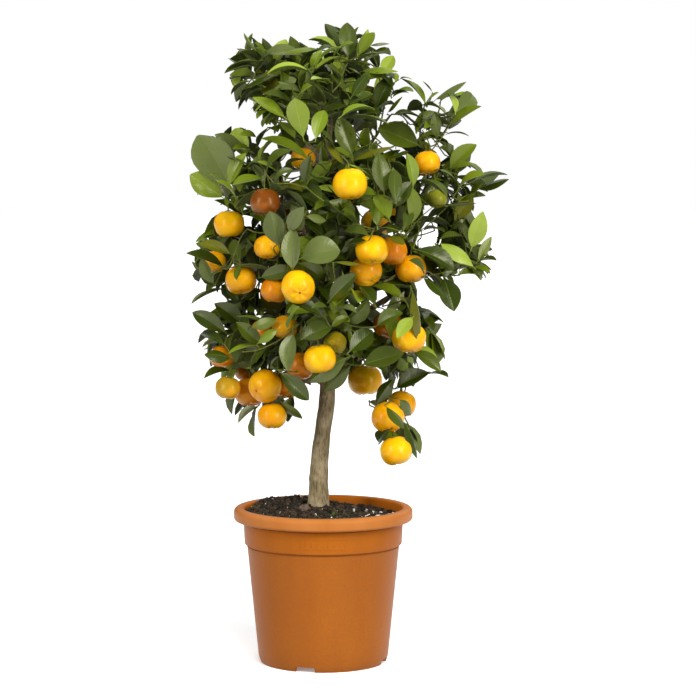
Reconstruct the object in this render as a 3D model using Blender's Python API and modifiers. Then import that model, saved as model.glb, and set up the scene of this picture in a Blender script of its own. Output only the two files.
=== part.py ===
"""Potted calamondin tree: a small citrus standard in a moulded plastic pot.

The pot stands on its flat foot at the origin, with +Z up and the front of the tree towards -Y.
Sizes are in millimetres and become metres where a mesh is made.
"""

import math
from dataclasses import dataclass

import bmesh
import bpy
from mathutils import Vector, noise

MM = 0.001
GAP = 0.3  # clearance between pieces that touch

# Pot
RIM_RADIUS = 100.0
POT_HEIGHT = 173.5
MOUTH_RADIUS = 90.0
WALL = 2.0
LIP_HEIGHT = 14.0
LIP_ROUND = 5.0
BAND_BOTTOM = 133.0
BAND_STEP = 2.6
FOOT_RADIUS = 70.4
FOOT_CHAMFER = 2.4
FOOT_HEIGHT = 7.0
FLOOR_UNDERSIDE = 6.5
FLOOR_TOP = 9.0
FOOT_RING = 4.0
HUB_RADIUS = 14.0
POT_STEPS = 36
NOTCH_COUNT = 4
NOTCH_FIRST_DEG = -16.0  # seen from the front, left of the middle
NOTCH_WIDTH = 20.0
NOTCH_HEIGHT = 5.5
DRAIN_RADIUS = 4.0
DRAIN_RING = 46.0

# Soil
SOIL_EDGE = 163.0
SOIL_STEPS = 28
SOIL_RINGS = (0.86, 0.66, 0.46, 0.30)  # shares of the soil's radius
SEAT_RADIUS = 18.0  # level soil round the foot of the trunk

# Trunk
TRUNK_FOOT = Vector((-5.0, 12.0))
TRUNK_BASE = 173.0
TRUNK_TIP = 636.0
TRUNK_RADIUS = 9.0
TRUNK_TIP_RADIUS = 2.6
TRUNK_TAPER_FROM = 265.0
FLARE = 2.2
FLARE_HEIGHT = 9.0
SWAY = 11.0  # how far the stem steps to the right
SWAY_FROM = 205.0
SWAY_TO = 322.0
TRUNK_POINTS = 16
TRUNK_SIDES = 5  # bevel resolution, which gives 14 sides

# Boughs
BOUGH_POINTS = 6
BOUGH_SIDES = 1  # bevel resolution, which gives 6 sides
BOUGH_RADIUS = 4.2
BOUGH_TIP_RADIUS = 1.9
BOUGH_LEAST_TILT = 0.16  # least share of its radius that a bough's cut end stands off the trunk
BOUGH_ELBOW = 0.5  # share of its length after which the bough has turned towards its mass

# Foliage
LUMP_LEVEL = 3  # icosphere subdivisions
LUMPINESS = 0.26
LUMP_SIZE = 1.6  # lobes to a radius
RIPPLE = 0.12  # a finer unevenness on the lobes
RIPPLE_SIZE = 3.7
TIP_WIDTH = 0.42  # radians
SMALLEST_CUT = 6.0

LEAF_GREEN = (0.09, 0.15, 0.03, 1.0)
BARK_BROWN = (0.22, 0.17, 0.11, 1.0)
TERRACOTTA = (0.48, 0.14, 0.03, 1.0)
PEAT = (0.035, 0.025, 0.017, 1.0)


@dataclass
class Mass:
    """One mass of foliage: its middle and half sizes, and where its bough leaves the trunk."""

    name: str
    middle: tuple
    half: tuple
    fork: float | None = None  # height on the trunk
    rise_deg: float = 35.0  # slope at which the bough sets off
    entry: float = 0.6  # share of the mass's half size at which the bough ends
    tip: tuple | None = None  # direction of the furthest shoot
    reach: float = 0.0  # how far that shoot goes from the middle


MASSES = [
    Mass("top_crest", (28, 2, 664), (53, 56, 47)),
    Mass("top_left_tuft", (-60, 0, 654), (46, 56, 41), 560, 40, tip=(-1, 0, 0.2), reach=54),
    Mass("top_back", (0, 82, 626), (72, 58, 62)),
    Mass("upper_front", (-10, -62, 606), (62, 56, 56)),
    Mass("upper_right", (72, 0, 606), (43, 56, 50), 520, 55),
    Mass("right_plume", (132, 0, 610), (38, 50, 43), tip=(0.72, 0, 0.3), reach=44),
    Mass("left_shoulder", (-98, 4, 548), (47, 68, 45), 470, 30, tip=(-1, -0.1, -0.1), reach=50),
    Mass("right_shoulder", (132, 4, 532), (49, 68, 47), 450, 30, tip=(1, 0, 0.3), reach=76),
    Mass("front_left", (-42, -76, 514), (58, 62, 58)),
    Mass("front_right", (56, -76, 520), (58, 62, 58)),
    Mass("back_upper", (12, 98, 528), (98, 68, 62), 460, 30),
    Mass("left_middle", (-94, 2, 450), (50, 70, 51), 385, 30, tip=(-0.9, 0, -0.6), reach=58),
    Mass("right_middle", (132, 2, 448), (58, 68, 47), 372, 30, tip=(1, 0, 0.3), reach=62),
    Mass("front_centre", (14, -88, 426), (68, 60, 56), 372, 25),
    Mass("right_inner", (84, -44, 436), (44, 54, 50)),
    Mass("back_middle", (10, 100, 430), (100, 68, 60), 365, 30),
    Mass("left_lower", (-90, 4, 364), (50, 70, 46), 325, 20, tip=(-0.9, 0, 0.45), reach=54),
    Mass("lower_front", (-2, -58, 356), (60, 58, 44)),
    Mass("right_lower", (80, 0, 356), (53, 68, 50), 330, 22, tip=(0.9, 0, -0.1), reach=52),
    Mass("back_lower", (0, 84, 350), (84, 60, 50), 328, 20),
    Mass("left_hanging", (-70, -14, 300), (52, 46, 38), 316, 0, 0.75),
    Mass("right_hanging", (80, -10, 270), (30, 34, 50)),
]


def smooth(value):
    """Rises smoothly from 0 to 1."""
    t = min(1.0, max(0.0, value))
    return t * t * (3.0 - 2.0 * t)


def metres(x, y, z):
    """A point in metres from millimetres."""
    return Vector((x, y, z)) * MM


def new_material(name, colour, roughness):
    """A Principled material of one colour."""
    made = bpy.data.materials.new(name)
    made.use_nodes = True
    shader = made.node_tree.nodes["Principled BSDF"]
    shader.inputs["Base Color"].default_value = colour
    shader.inputs["Roughness"].default_value = roughness
    shader.inputs["Metallic"].default_value = 0.0
    return made


def new_object(name, data, collection, material=None):
    """A linked object that shows this mesh or curve."""
    made = bpy.data.objects.new(name, data)
    collection.objects.link(made)
    if material:
        data.materials.append(material)
    return made


def new_collection(name):
    """A collection under the scene's own."""
    made = bpy.data.collections.new(name)
    bpy.context.scene.collection.children.link(made)
    return made


# Pot


def wall_radius(z):
    """Outer radius of the pot's wall at a height, below the band or on it."""
    low = FOOT_RADIUS + FOOT_CHAMFER
    band_low = 88.0
    if z < BAND_BOTTOM:
        share = (z - FOOT_HEIGHT) / (BAND_BOTTOM - FOOT_HEIGHT)
        return low + (band_low - BAND_STEP - low) * share
    share = (z - BAND_BOTTOM) / (POT_HEIGHT - LIP_HEIGHT - BAND_BOTTOM)
    return band_low + (RIM_RADIUS - 10.7 - band_low) * share


def pot_profile():
    """The pot's section from the middle of its floor, up inside, over the lip and down outside."""
    lip_low = POT_HEIGHT - LIP_HEIGHT
    inside = [
        (0.0, FLOOR_TOP),
        (wall_radius(FLOOR_TOP) - WALL - 1.5, FLOOR_TOP),
        (wall_radius(FLOOR_TOP + 3) - WALL, FLOOR_TOP + 3),
        (wall_radius(BAND_BOTTOM - 1.5) - WALL, BAND_BOTTOM - 1.5),
        (wall_radius(BAND_BOTTOM) - WALL, BAND_BOTTOM),
        (MOUTH_RADIUS - WALL, POT_HEIGHT - 4.0),
        (MOUTH_RADIUS - WALL + 1.0, POT_HEIGHT - 1.0),
        (MOUTH_RADIUS + 0.5, POT_HEIGHT),
    ]
    lip = []
    for angle in (90, 60, 30, 0):
        turn = math.radians(angle)
        lip.append(
            (
                RIM_RADIUS - LIP_ROUND * (1 - math.cos(turn)),
                POT_HEIGHT - LIP_ROUND * (1 - math.sin(turn)),
            )
        )
    outside = [
        (RIM_RADIUS, lip_low + 3.0),
        (RIM_RADIUS - 2.0, lip_low),
        (wall_radius(lip_low), lip_low),
        (wall_radius(BAND_BOTTOM), BAND_BOTTOM),
        (wall_radius(BAND_BOTTOM - 1.5), BAND_BOTTOM - 1.5),
        (wall_radius(FOOT_HEIGHT), FOOT_HEIGHT),
        (FOOT_RADIUS, 0.0),
        (FOOT_RADIUS - FOOT_RING, 0.0),
        (FOOT_RADIUS - FOOT_RING, FLOOR_UNDERSIDE),
        (HUB_RADIUS, FLOOR_UNDERSIDE),
        (HUB_RADIUS, 0.0),
        (0.0, 0.0),
    ]
    return inside + lip + outside


def profile_mesh(name, points):
    """A chain of edges in the XZ plane, ready for a Screw modifier."""
    mesh = bpy.data.meshes.new(name)
    edges = [(i, i + 1) for i in range(len(points) - 1)]
    mesh.from_pydata([metres(r, 0.0, z) for r, z in points], edges, [])
    return mesh


def turn(obj, steps):
    """Turns an object's profile round the Z axis."""
    screw = obj.modifiers.new("turned", "SCREW")
    screw.axis = "Z"
    screw.angle = math.tau
    screw.steps = steps
    screw.render_steps = steps
    screw.use_merge_vertices = True
    screw.merge_threshold = 0.0001
    screw.use_smooth_shade = True


def add_notch(index, cutters):
    """A wedge-sided cutter through the pot's foot ring, for a water outlet."""
    bm = bmesh.new()
    depth = 3 * FOOT_RING
    height = NOTCH_HEIGHT + 3.0
    bmesh.ops.create_cube(bm, size=1.0)
    for v in bm.verts:
        slope = 1.15 if v.co.z < 0 else 0.85
        v.co = metres(v.co.x * NOTCH_WIDTH * slope, v.co.y * depth, v.co.z * height)
    mesh = bpy.data.meshes.new(f"notch_{index}")
    bm.to_mesh(mesh)
    bm.free()
    cutter = new_object(f"notch_{index}", mesh, cutters)
    angle = math.radians(NOTCH_FIRST_DEG + index * 360.0 / NOTCH_COUNT)
    ring = FOOT_RADIUS - FOOT_RING / 2
    cutter.location = metres(
        ring * math.sin(angle), -ring * math.cos(angle), NOTCH_HEIGHT - height / 2
    )
    cutter.rotation_euler.z = angle
    return cutter


def add_drain(index, cutters):
    """A round cutter through the pot's floor."""
    bm = bmesh.new()
    bmesh.ops.create_cone(
        bm,
        cap_ends=True,
        segments=10,
        radius1=DRAIN_RADIUS * MM,
        radius2=DRAIN_RADIUS * MM,
        depth=3 * (FLOOR_TOP - FLOOR_UNDERSIDE) * MM,
    )
    mesh = bpy.data.meshes.new(f"drain_{index}")
    bm.to_mesh(mesh)
    bm.free()
    cutter = new_object(f"drain_{index}", mesh, cutters)
    angle = math.radians(NOTCH_FIRST_DEG + (index + 0.5) * 360.0 / NOTCH_COUNT)
    middle = (FLOOR_TOP + FLOOR_UNDERSIDE) / 2
    cutter.location = metres(DRAIN_RING * math.sin(angle), -DRAIN_RING * math.cos(angle), middle)
    return cutter


def add_pot(parts, cutters):
    """The moulded pot: tapered wall, plain band, rolled lip, and a notched foot ring."""
    pot = new_object(
        "pot",
        profile_mesh("pot", pot_profile()),
        parts,
        new_material("terracotta plastic", TERRACOTTA, 0.45),
    )
    turn(pot, POT_STEPS)
    for index in range(NOTCH_COUNT):
        for cutter in (add_notch(index, cutters), add_drain(index, cutters)):
            cutter.hide_render = True
            cutter.display_type = "WIRE"
            cut = pot.modifiers.new(f"cut by {cutter.name}", "BOOLEAN")
            cut.operation = "DIFFERENCE"
            cut.object = cutter
    return pot


# Soil


def soil_height(x, y):
    """The heaped soil: high behind and left of the trunk, low at the right, level at its foot."""
    heap = 12.0 * math.exp(-(((x + 32) / 34) ** 2 + ((y - 42) / 30) ** 2))
    mound = 9.5 * math.exp(-((x + 4) ** 2 + (y - 8) ** 2) / 46.0**2)
    hollow = 4.0 * math.exp(-(((x - 58) / 28) ** 2 + ((y - 20) / 34) ** 2))
    rough = 1.5 * noise.noise(Vector((x, y, 0)) / 22.0)
    heaped = SOIL_EDGE + heap + mound - hollow + rough
    away = (Vector((x, y)) - TRUNK_FOOT).length
    level = smooth((away - SEAT_RADIUS) / SEAT_RADIUS)
    seat = TRUNK_BASE - GAP
    return seat + (heaped - seat) * level


def add_soil(parts):
    """The potting soil, which fills the pot up to its heaped top."""
    bottom = FLOOR_TOP + GAP
    edge = MOUTH_RADIUS - WALL - 1.5
    points = [
        (0.0, SOIL_EDGE),
        *((edge * share, SOIL_EDGE) for share in reversed(SOIL_RINGS)),
        (edge, SOIL_EDGE),
        (wall_radius(BAND_BOTTOM) - WALL - 1.2, BAND_BOTTOM + 2.0),
        (wall_radius(BAND_BOTTOM - 2.0) - WALL - 1.0, BAND_BOTTOM - 2.0),
        (wall_radius(FLOOR_TOP + 3) - WALL - 1.0, FLOOR_TOP + 3),
        (wall_radius(FLOOR_TOP) - WALL - 3.0, bottom),
        (0.0, bottom),
    ]
    bm = bmesh.new()
    corners = [bm.verts.new(metres(r, 0.0, z)) for r, z in points]
    edges = [bm.edges.new(pair) for pair in zip(corners, corners[1:])]
    bmesh.ops.spin(
        bm,
        geom=corners + edges,
        cent=(0, 0, 0),
        axis=(0, 0, 1),
        angle=math.tau,
        steps=SOIL_STEPS,
        use_duplicate=False,
    )
    bmesh.ops.remove_doubles(bm, verts=bm.verts, dist=0.0001)
    bmesh.ops.recalc_face_normals(bm, faces=bm.faces)
    for v in bm.verts:
        if v.co.z > (SOIL_EDGE - 0.5) * MM:
            v.co.z = soil_height(v.co.x / MM, v.co.y / MM) * MM
    mesh = bpy.data.meshes.new("soil")
    bm.to_mesh(mesh)
    bm.free()
    return new_object("soil", mesh, parts, new_material("peat soil", PEAT, 0.95))


# Trunk and boughs


def trunk_radius(z):
    """The stem's radius: a short flare at the soil, an even shaft, then a taper to the tip."""
    flare = FLARE * math.exp(-(z - TRUNK_BASE) / FLARE_HEIGHT)
    share = max(0.0, (z - TRUNK_TAPER_FROM) / (TRUNK_TIP - TRUNK_TAPER_FROM))
    return TRUNK_RADIUS + flare - (TRUNK_RADIUS - TRUNK_TIP_RADIUS) * share


def trunk_point(z):
    """The stem's centre at a height: it leans left a little, then steps to the right."""
    step = SWAY * smooth((z - SWAY_FROM) / (SWAY_TO - SWAY_FROM))
    wave = 2.2 * math.sin((z - TRUNK_BASE) / 62.0) * smooth((z - SWAY_TO) / 60.0)
    return Vector((TRUNK_FOOT.x + step + wave, TRUNK_FOOT.y - 1.5 * wave, z))


def trunk_limb():
    """Points and radii up the trunk, with an upright start so that its foot is cut level."""
    heights = [TRUNK_BASE, TRUNK_BASE + 3.0, TRUNK_BASE + 10.0]
    count = TRUNK_POINTS - len(heights)
    last = heights[-1]
    heights += [last + (TRUNK_TIP - last) * (i + 1) / count for i in range(count)]
    return [trunk_point(z) for z in heights], [trunk_radius(z) for z in heights]


def bough_limb(mass):
    """Points and radii of a bough, from the flank of the trunk to where it enters its mass."""
    middle = Vector(mass.middle)
    axis = trunk_point(mass.fork)
    flat = Vector((middle.x - axis.x, middle.y - axis.y, 0.0))
    rise = math.radians(mass.rise_deg)
    heading = flat.normalized() * math.cos(rise) + Vector((0, 0, math.sin(rise)))
    tilt = max(BOUGH_LEAST_TILT, math.sin(rise))
    setback = trunk_radius(mass.fork) + GAP + BOUGH_RADIUS * tilt
    start = axis + flat.normalized() * setback
    depth = mass.entry * sum(mass.half) / 3
    elbow = start + heading * ((middle - start).length - depth) * BOUGH_ELBOW
    end = middle - (middle - elbow).normalized() * depth
    points = []
    radii = []
    for i in range(BOUGH_POINTS):
        t = i / (BOUGH_POINTS - 1)
        points.append(start * (1 - t) ** 2 + elbow * 2 * t * (1 - t) + end * t * t)
        radii.append(BOUGH_RADIUS + (BOUGH_TIP_RADIUS - BOUGH_RADIUS) * t)
    return points, radii


def add_limb(name, limb, sides, parts, material):
    """One tapering limb, as a curve with filled ends."""
    curve = bpy.data.curves.new(name, "CURVE")
    curve.dimensions = "3D"
    curve.bevel_depth = MM
    curve.bevel_resolution = sides
    curve.use_fill_caps = True
    points, radii = limb
    spline = curve.splines.new("POLY")
    spline.points.add(len(points) - 1)
    for target, point, radius in zip(spline.points, points, radii):
        target.co = (*(point * MM), 1.0)
        target.radius = radius
    return new_object(name, curve, parts, material)


# Foliage


def limb_cuts(middle, limbs):
    """Planes that keep a mass clear of every stretch of every limb, ends and all."""
    for points, radii in limbs:
        last = len(points) - 1
        for i in range(last):
            along = points[i + 1] - points[i]
            t = (middle - points[i]).dot(along) / along.length_squared
            nearest = points[i] + along * min(1.0, max(0.0, t))
            normal = (nearest - middle).normalized()
            limit = math.inf
            for k in (i, i + 1):
                heading = (points[min(k + 1, last)] - points[max(k - 1, 0)]).normalized()
                sideways = math.sqrt(max(0.0, 1.0 - normal.dot(heading) ** 2))
                limit = min(limit, normal.dot(points[k] - middle) - radii[k] * sideways)
            yield normal, limit - GAP


def neighbour_cuts(mass):
    """Planes halfway to every other mass, nearer to the smaller of the two."""
    middle = Vector(mass.middle)
    size = sum(mass.half) / 3
    for other in MASSES:
        if other is mass:
            continue
        away = Vector(other.middle) - middle
        other_size = sum(other.half) / 3
        share = 0.5 + (size**2 - other_size**2) / (2 * away.length_squared)
        yield away.normalized(), away.length * share - GAP / 2


def skin_distance(mass, direction, seed):
    """How far the uncut skin of a mass lies from its middle."""
    a, b, c = mass.half
    plain = 1.0 / math.sqrt(
        (direction.x / a) ** 2 + (direction.y / b) ** 2 + (direction.z / c) ** 2
    )
    shift = Vector((seed * 7.3, seed * 1.9, 0.4))
    lobes = LUMPINESS * noise.noise(direction * LUMP_SIZE + shift)
    ripple = RIPPLE * noise.noise(direction * RIPPLE_SIZE - shift)
    distance = plain * (1.0 + lobes + ripple)
    if mass.tip:
        off = direction.angle(Vector(mass.tip))
        distance = max(distance, mass.reach * math.exp(-((off / TIP_WIDTH) ** 2)))
    return distance


def add_mass(mass, seed, limbs, parts, material):
    """One uneven closed lump of foliage, cut flat where it meets a limb or another mass."""
    middle = Vector(mass.middle)
    cuts = [*limb_cuts(middle, limbs), *neighbour_cuts(mass)]
    tightest = min(limit for _, limit in cuts)
    if tightest < SMALLEST_CUT:
        raise ValueError(f"{mass.name} is cut to {tightest:.1f} mm from its middle")
    bm = bmesh.new()
    bmesh.ops.create_icosphere(bm, subdivisions=LUMP_LEVEL, radius=1.0)
    for v in bm.verts:
        direction = v.co.normalized()
        distance = skin_distance(mass, direction, seed)
        for normal, limit in cuts:
            facing = normal.dot(direction)
            if facing > 0.0:
                distance = min(distance, limit / facing)
        v.co = (middle + direction * distance) * MM
    mesh = bpy.data.meshes.new(mass.name)
    bm.to_mesh(mesh)
    bm.free()
    return new_object(mass.name, mesh, parts, material)


def main():
    """Builds the whole plant in its pot."""
    for obj in list(bpy.data.objects):
        bpy.data.objects.remove(obj)
    parts = new_collection("potted calamondin tree")
    cutters = new_collection("cutters")
    add_pot(parts, cutters)
    add_soil(parts)
    bark = new_material("bark", BARK_BROWN, 0.85)
    leaves = new_material("citrus leaves", LEAF_GREEN, 0.5)
    limbs = {"trunk": trunk_limb()}
    for mass in MASSES:
        if mass.fork:
            limbs[f"bough_{mass.name}"] = bough_limb(mass)
    for name, limb in limbs.items():
        sides = TRUNK_SIDES if name == "trunk" else BOUGH_SIDES
        add_limb(name, limb, sides, parts, bark)
    for seed, mass in enumerate(MASSES):
        add_mass(mass, seed, limbs.values(), parts, leaves)


main()
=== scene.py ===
"""The looks of a potted calamondin tree: bark, twigs, leaves, fruit, soil and a moulded pot.

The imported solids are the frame. The limbs are read from the trunk and the boughs, and each mass
of foliage is grown over by seeded shoots that start on them. Sizes are in millimetres, and MM
turns them into metres, the unit of the frame. The front of the tree is towards -Y.
"""

import logging
import random
from collections.abc import Callable, Iterator
from contextlib import contextmanager
from dataclasses import dataclass, field
from enum import Enum
from functools import partial
from itertools import accumulate, product
from math import acos, atan2, copysign, cos, exp, hypot, pi, radians, remainder, sin, sqrt, tau

import bmesh
import bpy
import numpy as np
from bpy.types import Material, Mesh, Node, Object
from mathutils import Matrix, Quaternion, Vector, noise
from mathutils.bvhtree import BVHTree


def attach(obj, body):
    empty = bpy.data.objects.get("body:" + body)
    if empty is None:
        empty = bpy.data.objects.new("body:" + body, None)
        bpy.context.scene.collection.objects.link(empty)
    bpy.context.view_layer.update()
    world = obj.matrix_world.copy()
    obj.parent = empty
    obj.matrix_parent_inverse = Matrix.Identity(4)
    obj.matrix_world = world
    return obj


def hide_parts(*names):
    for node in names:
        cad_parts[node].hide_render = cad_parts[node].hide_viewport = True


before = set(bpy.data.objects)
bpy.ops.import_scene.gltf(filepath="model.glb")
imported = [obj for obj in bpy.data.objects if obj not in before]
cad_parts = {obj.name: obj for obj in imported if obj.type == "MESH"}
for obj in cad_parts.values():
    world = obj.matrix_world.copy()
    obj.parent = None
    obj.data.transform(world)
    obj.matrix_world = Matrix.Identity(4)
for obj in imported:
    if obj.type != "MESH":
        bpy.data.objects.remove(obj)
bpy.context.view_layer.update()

log = logging.getLogger("calamondin")

MM = 0.001
UP = Vector((0.0, 0.0, 1.0))
BODY = "root"
GOLDEN_TURN = pi * (3.0 - sqrt(5.0))  # spreads things evenly round an axis
Pair = tuple[float, float]  # a pixel across and down, a radius and a height, or a range


def mm(x: float, y: float, z: float) -> Vector:
    """Returns a point in metres from its millimetres."""
    return Vector((x, y, z)) * MM


def linear(colour: str) -> tuple[float, float, float, float]:
    """Returns the linear colour that a shader takes for an sRGB hex one."""
    shares = [int(colour[start:start + 2], 16) / 255.0 for start in (1, 3, 5)]
    return (*(s / 12.92 if s <= 0.04045 else ((s + 0.055) / 1.055) ** 2.4 for s in shares), 1.0)


def smooth(value: float) -> float:
    """Rises smoothly from 0 to 1 as the value does."""
    t = min(1.0, max(0.0, value))
    return t * t * (3.0 - 2.0 * t)


def per(size: float) -> float:
    """Returns the scale of a pattern whose features are this many millimetres wide."""
    return 1.0 / (size * MM)


def feed(node: Node, *ordered, **named) -> None:
    """Sets and links a node's inputs: each takes a value, a hex colour, an output or another node.

    Args:
        node: the node.
        ordered: what its first inputs take.
        named: what other inputs take, by name, with _ for a space.
    """
    sockets = [socket for socket in node.inputs if socket.enabled]
    pairs = list(zip(sockets, ordered))
    for name, source in named.items():
        pairs.append((next(s for s in sockets if s.name == name.replace("_", " ")), source))
    for socket, source in pairs:
        if isinstance(source, Node):
            source = next(output for output in source.outputs if output.enabled)
        if isinstance(source, bpy.types.NodeSocket):
            node.id_data.links.new(source, socket)
        else:
            socket.default_value = linear(source) if isinstance(source, str) else source


def add_node(tree: bpy.types.NodeTree, kind: str, *ordered, **named) -> Node:
    """Adds one shader node with its settings and links.

    Args:
        tree: the node tree of a material or a world.
        kind: the node's type, without its ShaderNode prefix.
        ordered: what its first inputs take.
        named: its settings, and with a capital what its other inputs take.

    Returns:
        The new node.
    """
    node = tree.nodes.new(f"ShaderNode{kind}")
    for name, setting in named.items():
        if name.islower():
            setattr(node, name, setting)
    feed(node, *ordered, **{name: source for name, source in named.items() if not name.islower()})
    return node


def new_surface(name: str) -> tuple[Material, Callable[..., Node], bpy.types.NodeSocket, Node]:
    """Returns a new material, add_node for its tree, its Object coordinates and its shader."""
    material = bpy.data.materials.new(name)
    material.use_nodes = True
    add = partial(add_node, material.node_tree)
    return material, add, add("TexCoord").outputs["Object"], material.node_tree.nodes["Principled BSDF"]


def in_scene(name: str, data: bpy.types.ID) -> Object:
    """Returns a new object in the scene for a mesh, a light or a camera."""
    obj = bpy.data.objects.new(name, data)
    bpy.context.scene.collection.objects.link(obj)
    return obj


def activate(obj: Object) -> None:
    """Makes this object the active one and the only one selected."""
    bpy.ops.object.select_all(action="DESELECT")
    obj.select_set(True)
    bpy.context.view_layer.objects.active = obj


def apply_modifier(obj: Object, kind: str, **settings) -> None:
    """Adds a modifier and applies it.

    Args:
        obj: the object that it shapes.
        kind: the modifier's type.
        settings: its settings.
    """
    activate(obj)
    modifier = obj.modifiers.new(kind.lower(), kind)
    for name, setting in settings.items():
        setattr(modifier, name, setting)
    bpy.ops.object.modifier_apply(modifier=modifier.name)


@contextmanager
def editing(obj: Object) -> Iterator[None]:
    """Opens a piece in edit mode with all of it selected, and closes it again."""
    activate(obj)
    bpy.ops.object.mode_set(mode="EDIT")
    bpy.ops.mesh.select_all(action="SELECT")
    yield
    bpy.ops.object.mode_set(mode="OBJECT")


def primitive(add: Callable, **settings) -> Object:
    """Adds a primitive with nothing else selected, and returns it."""
    bpy.ops.object.select_all(action="DESELECT")
    add(**settings)
    return bpy.context.object


def turned(name: str, section: list[Pair], sides: int) -> Object:
    """Extrudes a disc from corner to corner of a section, scaled to the radius of each.

    Args:
        name: the piece's name.
        section: radius and height of each corner, in millimetres.
        sides: how many sides the disc has.

    Returns:
        The closed piece.
    """
    radius, rise = section[0]
    piece = primitive(bpy.ops.mesh.primitive_circle_add, vertices=sides, radius=radius * MM,
                      fill_type="NGON", location=mm(0, 0, rise))
    piece.name = name
    with editing(piece):
        for next_radius, next_rise in section[1:]:
            step = {"value": (0, 0, (next_rise - rise) * MM)}
            bpy.ops.mesh.extrude_region_move(TRANSFORM_OT_translate=step)
            scale = next_radius / radius
            bpy.ops.transform.resize(value=(scale, scale, 1.0), center_override=(0, 0, next_rise * MM))
            radius, rise = next_radius, next_rise
        bpy.ops.mesh.select_all(action="SELECT")
        bpy.ops.mesh.normals_make_consistent(inside=False)
    bpy.ops.object.transform_apply()
    return piece


def smooth_shade(obj: Object, angle_deg: float) -> None:
    """Shades a piece smooth, with its edges sharp where it turns by more than this angle."""
    activate(obj)
    bpy.ops.object.shade_smooth_by_angle(angle=radians(angle_deg))


def read_all(rows: bpy.types.bpy_prop_collection, what: str, width: int = 0) -> np.ndarray:
    """Returns one property of all rows: whole numbers, or this many floats a row."""
    values = np.zeros(len(rows) * max(width, 1), float if width else np.int32)
    rows.foreach_get(what, values)
    return values


def mesh_points(mesh: Mesh) -> np.ndarray:
    """Returns a mesh's vertices as an array of rows."""
    return read_all(mesh.vertices, "co", 3).reshape(-1, 3)


def skin_of(*nodes: str) -> BVHTree:
    """Returns the surface of some CAD nodes, taken together, for casting rays on."""
    corners, faces = [], []
    for node in nodes:
        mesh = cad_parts[node].data
        start = len(corners)
        corners += [v.co.copy() for v in mesh.vertices]
        faces += [[start + v for v in face.vertices] for face in mesh.polygons]
    return BVHTree.FromPolygons(corners, faces)


def hand_in(piece: Object, slot: str, *nodes: str) -> None:
    """Rides a finished piece on the body, hides the CAD nodes that it replaces and logs its faces.

    Args:
        piece: the finished piece.
        slot: the record's material slot, which is not used.
        nodes: the CAD nodes that it stands for.
    """
    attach(piece, BODY)
    if nodes:
        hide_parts(*nodes)
    log.info("%s: %d faces", piece.name, len(piece.data.polygons))


# Finishes


@dataclass(frozen=True)
class MouldedPolypropylene:
    """Injection-moulded polypropylene: satin, waxy, evenly coloured, with a fine grain."""

    name: str = "moulded terracotta polypropylene"
    body: str = "#b4620e"
    cloud: str = "#a75709"
    dust: str = "#7d4b29"
    grain: float = 0.9
    cloud_size: float = 70.0
    streak_size: float = 24.0
    speck_size: float = 2.2
    dust_heights: Pair = (158.0, 172.0)
    mouth: Pair = (87.0, 90.5)  # radii between which the dust fades out

    def material(self) -> Material:
        """Builds the material.

        Returns:
            A satin plastic with soft clouds, flow streaks up the wall, and soil dust in the mouth.
        """
        material, add, place, shader = new_surface(self.name)
        clouds = add("TexNoise", Vector=place, Scale=per(self.cloud_size), Detail=3.0)
        streaked = add("Mapping", Vector=place, Scale=(1.0, 1.0, 0.2))
        streaks = add("TexNoise", Vector=streaked, Scale=per(self.streak_size), Detail=2.0)
        both = add("Math", clouds, streaks, operation="MULTIPLY")
        share = add("MapRange", Value=both, From_Min=0.1, From_Max=0.42)
        plain = add("Mix", Factor=share, A=self.cloud, B=self.body, data_type="RGBA")
        height = add("SeparateXYZ", place).outputs["Z"]
        flat = add("VectorMath", place, (1.0, 1.0, 0.0), operation="MULTIPLY")
        away = add("VectorMath", flat, operation="LENGTH")
        narrow, wide = self.mouth
        inside = add("MapRange", Value=away, From_Min=wide * MM, From_Max=narrow * MM)
        bottom, top = self.dust_heights
        low = add("MapRange", Value=height, From_Min=top * MM, From_Max=bottom * MM)
        near_soil = add("Math", inside, low, operation="MULTIPLY")
        specks = add("TexNoise", Vector=place, Scale=per(self.speck_size), Detail=4.0, Roughness=0.7)
        dusty = add("Math", near_soil, specks, operation="MULTIPLY")
        colour = add("Mix", Factor=dusty, A=plain, B=self.dust, data_type="RGBA")
        roughness = add("MapRange", Value=clouds, To_Min=0.4, To_Max=0.52)
        # the real grain is near 0.2 mm and is drawn coarser so that it shows
        grain = add("TexNoise", Vector=place, Scale=per(self.grain), Detail=2.0)
        bump = add("Bump", Height=grain, Strength=0.25, Distance=0.06 * MM)
        feed(shader, Base_Color=colour, Roughness=roughness, Normal=bump, IOR=1.28, Specular_Tint="#ffd890")
        return material


@dataclass(frozen=True)
class CitrusBark:
    """Young citrus bark: matt grey-brown, finely split along the limb, darker in the splits."""

    name: str = "split grey-brown citrus bark"
    ridge: str = "#ab9b7a"
    body: str = "#847453"
    split: str = "#53462f"
    split_width: float = 1.3
    patch_size: float = 16.0

    def material(self) -> Material:
        """Builds the material.

        Returns:
            A matt bark with upright splits, broad paler patches and a fine grain.
        """
        material, add, place, shader = new_surface(self.name)
        upright = add("Mapping", Vector=place, Scale=(1.0, 1.0, 0.13))
        splits = add("TexNoise", Vector=upright, Scale=per(self.split_width), Detail=5.0, Roughness=0.62)
        patches = add("TexNoise", Vector=place, Scale=per(self.patch_size), Detail=4.0)
        deep = add("MapRange", Value=splits, From_Min=0.38, From_Max=0.56)
        pale = add("MapRange", Value=patches, From_Min=0.46, From_Max=0.72, To_Max=0.8)
        ground = add("Mix", Factor=deep, A=self.split, B=self.body, data_type="RGBA")
        colour = add("Mix", Factor=pale, A=ground, B=self.ridge, data_type="RGBA")
        bump = add("Bump", Height=splits, Strength=0.7, Distance=0.35 * MM)
        feed(shader, Base_Color=colour, Normal=bump, Roughness=0.82, IOR=1.45)
        return material


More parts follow.
